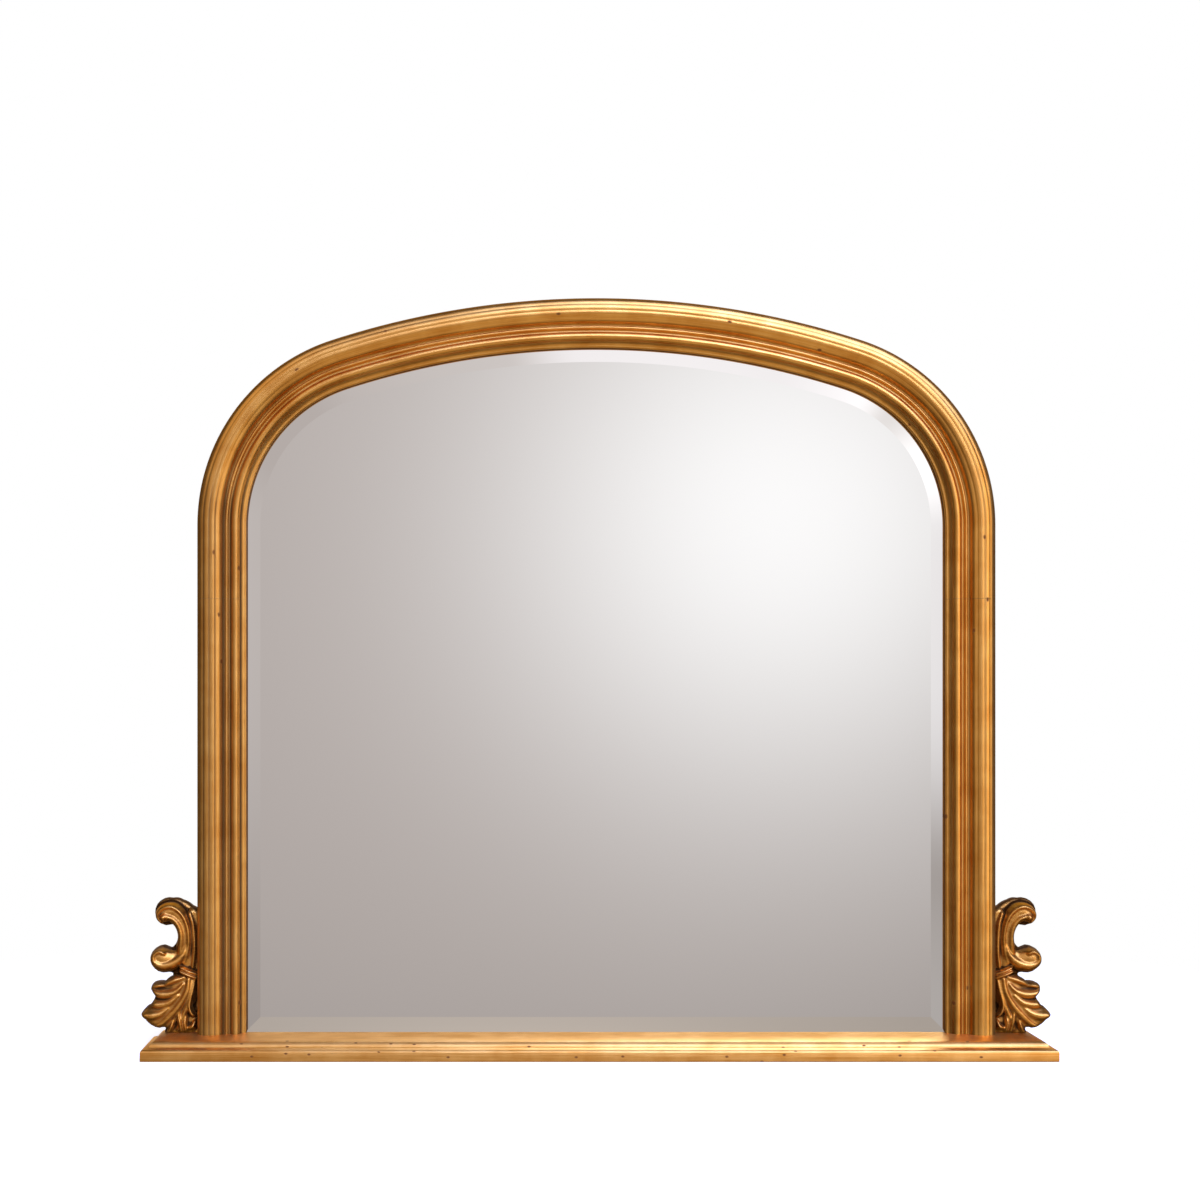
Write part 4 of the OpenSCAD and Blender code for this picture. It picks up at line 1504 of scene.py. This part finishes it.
    def build(self) -> list[bpy.types.Object]:
        """Carve the right-hand scroll and copy it as its mirror image.

        Returns:
            The pieces.
        """
        carved = ReliefMap(self.width, self.height)
        for stroke in self.strokes:
            carved.raise_stroke(stroke)
        heights = carved.blurred(carved.up, self.softness)
        hollow = carved.blurred(heights, self.hollow_reach) - heights
        right = self._slab("right_scroll_leaf")
        at = corners(right) / MM
        x, y = at[:, 0], at[:, 1]
        rim = self.edge_distance(x, y, self.outline())
        lifted = self._lift(right, rim, carved.sample(heights, x, y))
        self._tone(right, at, rim, lifted, carved.sample(hollow, x, y))
        dress(right, self.finishes.carved_leaf, self.finishes.timber)
        rear_y = (ARCH.glass_y - self.back - self.near) * MM
        for part in right.data.polygons:
            part.material_index = int(part.normal.y > 0.9 and part.center.y > rear_y)
        left = right.copy()
        left.data = right.data.copy()
        left.name = "left_scroll_leaf"
        left.data.name = left.name
        bpy.context.scene.collection.objects.link(left)
        at = corners(left)
        at[:, 0] *= -1
        set_corners(left, at)
        close_edit(left, angle=60)
        mount_piece(right, "gilt", "right_scroll_carving")
        mount_piece(left, "gilt", "left_scroll_carving")
        return [left, right]

    def _lift(self, piece: bpy.types.Object, rim: np.ndarray, relief: np.ndarray) -> np.ndarray:
        """Raise the blank to its relief and move it to its place beside the stile.

        Args:
            piece: the blank.
            rim: the distance of each vertex from the silhouette.
            relief: the height of the relief there.

        Returns:
            How far forward each vertex lies in the plane of the face.
        """
        at = corners(piece) / MM
        share = np.clip((at[:, 2] - self.back) / (self.ground - self.back), 0, 1)
        fall = np.sqrt(np.clip(1 - (1 - np.clip(rim / self.rim_w, 0, 1)) ** 2, 0, 1))
        full = relief * (self.rim_relief + (1 - self.rim_relief) * fall)
        top = self.ground - self.rim_drop * (1 - fall) + full
        lifted = self.back + share * (np.minimum(top, self.ground + self.relief) - self.back)
        across = ARCH.outer_x + np.clip(at[:, 0], 0, self.width)
        set_corners(piece, to_row(np.column_stack([across, np.maximum(at[:, 1], 0), lifted])))
        apply_modifier(piece, "SMOOTH", factor=0.35, iterations=2)
        at = corners(piece)
        at[:, 0] = np.maximum(at[:, 0], ARCH.outer_x * MM)
        at[:, 2] = np.maximum(at[:, 2], ARCH.base_t * MM)
        set_corners(piece, at)
        close_edit(piece, angle=60)
        return lifted

    def _tone(
        self,
        piece: bpy.types.Object,
        at: np.ndarray,
        rim: np.ndarray,
        lifted: np.ndarray,
        hollow: np.ndarray,
    ) -> None:
        """Mark the wash and painted shade, the crests and the direction of the gouge.

        The wash, with painted shade, lies in the hollows, and painted shade lies round the margin
        and down the sides.

        Args:
            piece: the piece.
            at: each vertex of the blank, in millimetres.
            rim: its distance from the silhouette.
            lifted: how far forward it lies.
            hollow: how deep it lies below what is around it.
        """
        x, y = at[:, 0], at[:, 1]
        # Painted shade down the sides and round the margin; wash and painted shade in the hollows.
        rear_shade = np.clip((self.ground - lifted) / self.rear_depth, 0, 1) * self.rear_shade_share
        margin = np.clip(self.margin_start - rim / self.margin_w, 0, 1) * self.margin_shade_share
        washed_and_shaded = hollow / self.wash_depth + self.wash_film
        least = np.full(len(x), self.least_wash)
        paint(piece, WASH_AND_SHADE_SHARE, np.maximum.reduce([washed_and_shaded, rear_shade, margin, least]))
        paint(piece, CREST, -hollow / self.crest_rise)
        lay_flow(piece, (x + y * self.slant[0]) * MM, (y + self.slant[1] * x) * MM)

    def _slab(self, name: str) -> bpy.types.Object:
        """Cut the blank: the silhouette in an even, fine mesh, still flat in front.

        Args:
            name: the piece's name.

        Returns:
            The piece, with x across, y up and z through it, in metres.
        """
        piece = flat_piece(name, [(x * MM, y * MM) for x, y in self.outline()])
        at = corners(piece)
        at[:, 2] = self.back * MM
        set_corners(piece, at)
        select_all_faces(piece)
        depth = (self.ground - self.back) * MM
        bpy.ops.mesh.extrude_region_move(TRANSFORM_OT_translate={"value": (0, 0, depth)})
        close_edit(piece)
        apply_modifier(piece, "REMESH", mode="VOXEL", voxel_size=self.voxel * MM)
        apply_modifier(piece, "SMOOTH", factor=0.5, iterations=5)
        return piece


# ---- Glass ------------------------------------------------------------------------------------


@dataclass
class MirrorGlass:
    """The arched pane with its ground and polished bevel."""

    finishes: Finishes
    cover: float = 5.5
    foot_cover: float = 3.5
    thick: float = 4
    bevel_w: float = 25
    bevel_drop: float = 1.8

    def build(self) -> bpy.types.Object:
        """Cut the pane, grind its bevel and silver it.

        Returns:
            The piece.
        """
        outline = ARCH.outline(self.cover, -self.foot_cover)
        piece = flat_piece("bevelled_mirror_pane", [(x * MM, y * MM) for x, y in outline])
        at = corners(piece)
        at[:, 2] = -self.thick * MM
        set_corners(piece, at)
        select_all_faces(piece)
        lift = (self.thick - self.bevel_drop) * MM
        bpy.ops.mesh.extrude_region_move(TRANSFORM_OT_translate={"value": (0, 0, lift)})
        bpy.ops.mesh.inset(thickness=self.bevel_w * MM, depth=0, use_even_offset=True)
        bpy.ops.transform.translate(value=(0, 0, self.bevel_drop * MM))
        bpy.ops.object.mode_set(mode="OBJECT")
        set_corners(piece, to_row(corners(piece) / MM))
        # The bevel slopes by only 4 degrees, and its inner edge stays sharp.
        close_edit(piece, angle=3)
        dress(piece, self.finishes.mirror)
        mount_piece(piece, "mirror", "mirror_glass")
        return piece


# ---- What is behind the frame -----------------------------------------------------------------


@dataclass
class BackWork:
    """The rail, board, plates, screws and hangers, which keep their CAD shapes."""

    finishes: Finishes

    def build(self) -> None:
        """Give each carried-over node its finish."""
        hangers = ("left_hanger_strap", "right_hanger_strap", "left_d_ring", "right_d_ring")
        plates = ("mending_plates", "mending_plate_screws")
        plan = (
            (self.finishes.rail, ("bottom_rail",)),
            (self.finishes.timber, ("joint_dowels", "carving_dowels")),
            (self.finishes.hardboard, ("backing_board",)),
            (self.finishes.tape, ("rebate_tape",)),
            (self.finishes.rubber, ("setting_blocks", "wall_bumpers")),
            (self.finishes.zinc, ("framing_points", *plates, "base_screws")),
            (self.finishes.brass, (*hangers, "hanger_screws")),
        )
        for finish, nodes in plan:
            for node in nodes:
                dress(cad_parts[node], finish)
                LOG.info("%s is finished in %s", node, finish.name)


# ---- Studio -----------------------------------------------------------------------------------


@dataclass(frozen=True)
class Panel:
    """A soft light of the studio, seen in one direction: a flat disc with a soft rim.

    The directions are degrees to the right of straight ahead of the mirror, and above level.
    """

    azimuth: float
    elevation: float
    full: float
    faded: float
    colour: str
    strength: float

    def direction(self) -> tuple[float, float, float]:
        """Give the way from the object to the light."""
        turn, rise = math.radians(self.azimuth), math.radians(self.elevation)
        return (math.sin(turn) * math.cos(rise), -math.cos(turn) * math.cos(rise), math.sin(rise))

    def share(self, node: AddNode, way: bpy.types.NodeSocket) -> bpy.types.NodeSocket:
        """Give how much of the light a direction sees.

        Args:
            node: what adds a node to the world.
            way: the direction.

        Returns:
            The share, from 0 to 1.
        """
        near = node("VectorMath", {0: way, 1: self.direction()}, operation="DOT_PRODUCT")["Value"]
        rim, core = (math.cos(math.radians(angle)) for angle in (self.faded, self.full))
        fade = {"Value": near, "From Min": rim, "From Max": core}
        return node("MapRange", fade, interpolation_type="SMOOTHSTEP")[0]


@dataclass(frozen=True)
class Glow(Panel):
    """A light that falls off evenly from its middle, as a lamp's pool on a wall does."""

    def share(self, node: AddNode, way: bpy.types.NodeSocket) -> bpy.types.NodeSocket:
        """Give how much of the light a direction sees.

        Args:
            node: what adds a node to the world.
            way: the direction.

        Returns:
            The share, from 0 to 1.
        """
        near = node("VectorMath", {0: way, 1: self.direction()}, operation="DOT_PRODUCT")["Value"]
        above = node("Math", {0: near, 1: 0.0}, operation="MAXIMUM")[0]
        power = 1 / math.radians(self.faded) ** 2
        return node("Math", {0: above, 1: power}, operation="POWER")[0]


@dataclass
class Studio:
    """The floor, the light and the camera.

    A little light of the floor's own keeps it as pale as the sweep behind it.
    """

    eye: tuple[float, float, float] = (-172.0, -2721.75, 513.0)
    focal_px: float = 1930.0
    frame_px: float = 1200.0
    centre_px: tuple[float, float] = (475.0, 690.5)
    sensor_mm: float = 36
    floor_r: float = 1.5
    floor_fade: tuple[float, float] = (0.66, 1.45)
    floor_colour: str = "#E7E7E7"
    floor_lift: float = 0.70
    white: str = "#FFFFFF"
    room: str = "#615850"
    room_light: float = 0.75
    lights: tuple[Panel, ...] = (
        Panel(0, 12, 2, 44, "#B4ACAA", 0.88),
        Glow(9.2, 5.3, 0, 6.2, "#F4FBFF", 0.60),
        Panel(46, 4, 14, 23, "#FFEED2", 2.20),
        Panel(22, 15, 4, 11, "#FFFFFF", 0.29),
        Panel(10, 21, 7, 10, "#F4F6FF", 0.30),
        Panel(24, 5, 5, 11, "#F8FAFF", 0.42),
        Panel(4, 27, 4, 18, "#FFFFFF", 0.16),
        Panel(23, -14, 3, 10, "#FFFFFF", 0.15),
        Panel(3, -50, 31, 39, "#E8D8C4", 0.24),
        Panel(-24, 2, 6, 14, "#FFFFFF", 0.10),
        Panel(-36, 6, 8, 18, "#FFE8C6", 0.66),
        Panel(-44, 38, 12, 28, "#FFEACC", 0.78),
        Panel(33, 46, 18, 28, "#94AAFF", 9.0),
        Panel(13, 31, 8, 13, "#98AEFF", 17.0),
        Panel(2, -44, 19, 27, "#E8D8C4", 0.60),
        Panel(180, 12, 26, 44, "#FFFFFF", 0.95),
    )

    def build(self) -> None:
        """Set up the whole studio."""
        self._floor()
        self._world()
        self._camera()
        bpy.context.scene.view_settings.view_transform = "Standard"

    def _floor(self) -> None:
        """Lay a round pale floor that fades out towards its edge."""
        bpy.ops.object.select_all(action="DESELECT")
        bpy.ops.mesh.primitive_circle_add(
            vertices=96, radius=self.floor_r, fill_type="NGON", location=(0, 0, -0.5 * MM)
        )
        floor = bpy.context.active_object
        floor.name = "pale_floor"
        bpy.ops.object.transform_apply(location=True, rotation=True, scale=True)
        floor.visible_glossy = False
        made, node = new_material("pale_floor")
        place = node("TexCoord", {})["Object"]
        away = node("VectorMath", {0: place}, operation="LENGTH")["Value"]
        fade = node(
            "MapRange",
            {"Value": away, "From Min": self.floor_fade[0], "From Max": self.floor_fade[1]},
            interpolation_type="SMOOTHSTEP",
        )[0]
        matt = node("BsdfDiffuse", {"Color": linear(self.floor_colour)})[0]
        lift = node("Emission", {"Color": linear(self.white), "Strength": self.floor_lift})[0]
        pale = node("AddShader", {0: matt, 1: lift})[0]
        clear = node("BsdfTransparent", {})[0]
        mixed = node("MixShader", {0: fade, 1: pale, 2: clear})[0]
        node("OutputMaterial", {"Surface": mixed})
        dress(floor, made)

    def _world(self) -> None:
        """Make a room with soft lights in front and a white sweep behind, seen white directly."""
        world = bpy.data.worlds.new("studio_room")
        bpy.context.scene.world = world
        world.use_nodes = True
        world.node_tree.nodes.clear()
        node = partial(add_node, world.node_tree)
        way = node("TexCoord", {})["Generated"]
        total = tuple(self.room_light * c for c in linear(self.room)[:3])
        for light in self.lights:
            shade = [c * light.strength for c in linear(light.colour)[:3]]
            seen = {0: shade, "Scale": light.share(node, way)}
            shone = node("VectorMath", seen, operation="SCALE")["Vector"]
            total = node("VectorMath", {0: shone, 1: total}, operation="ADD")["Vector"]
        direct = node("LightPath", {})["Is Camera Ray"]
        colour = node("Mix", {0: direct, 6: total, 7: linear(self.white)}, data_type="RGBA")[2]
        shader = node("Background", {"Color": colour, "Strength": 1.0})[0]
        node("OutputWorld", {"Surface": shader})

    def _camera(self) -> None:
        """Set the camera straight on, with the photograph's framing."""
        data = bpy.data.cameras.new("camera")
        data.sensor_width = self.sensor_mm
        data.lens = self.sensor_mm * self.focal_px / self.frame_px
        half = self.frame_px / 2
        data.shift_x = (half - self.centre_px[0]) / self.frame_px
        data.shift_y = (self.centre_px[1] - half) / self.frame_px
        camera = bpy.data.objects.new("camera", data)
        camera.location = tuple(c * MM for c in self.eye)
        camera.rotation_euler = (math.pi / 2, 0, 0)
        bpy.context.scene.collection.objects.link(camera)
        bpy.context.scene.camera = camera


def main() -> None:
    """Build every class in order."""
    logging.basicConfig(level=logging.INFO, format="%(name)s: %(message)s")
    finishes = Finishes()
    Moulding(finishes).build()
    BaseLedge(finishes).build()
    ScrollCarving(finishes).build()
    MirrorGlass(finishes).build()
    BackWork(finishes).build()
    Studio().build()


if __name__ == "__main__":
    main()
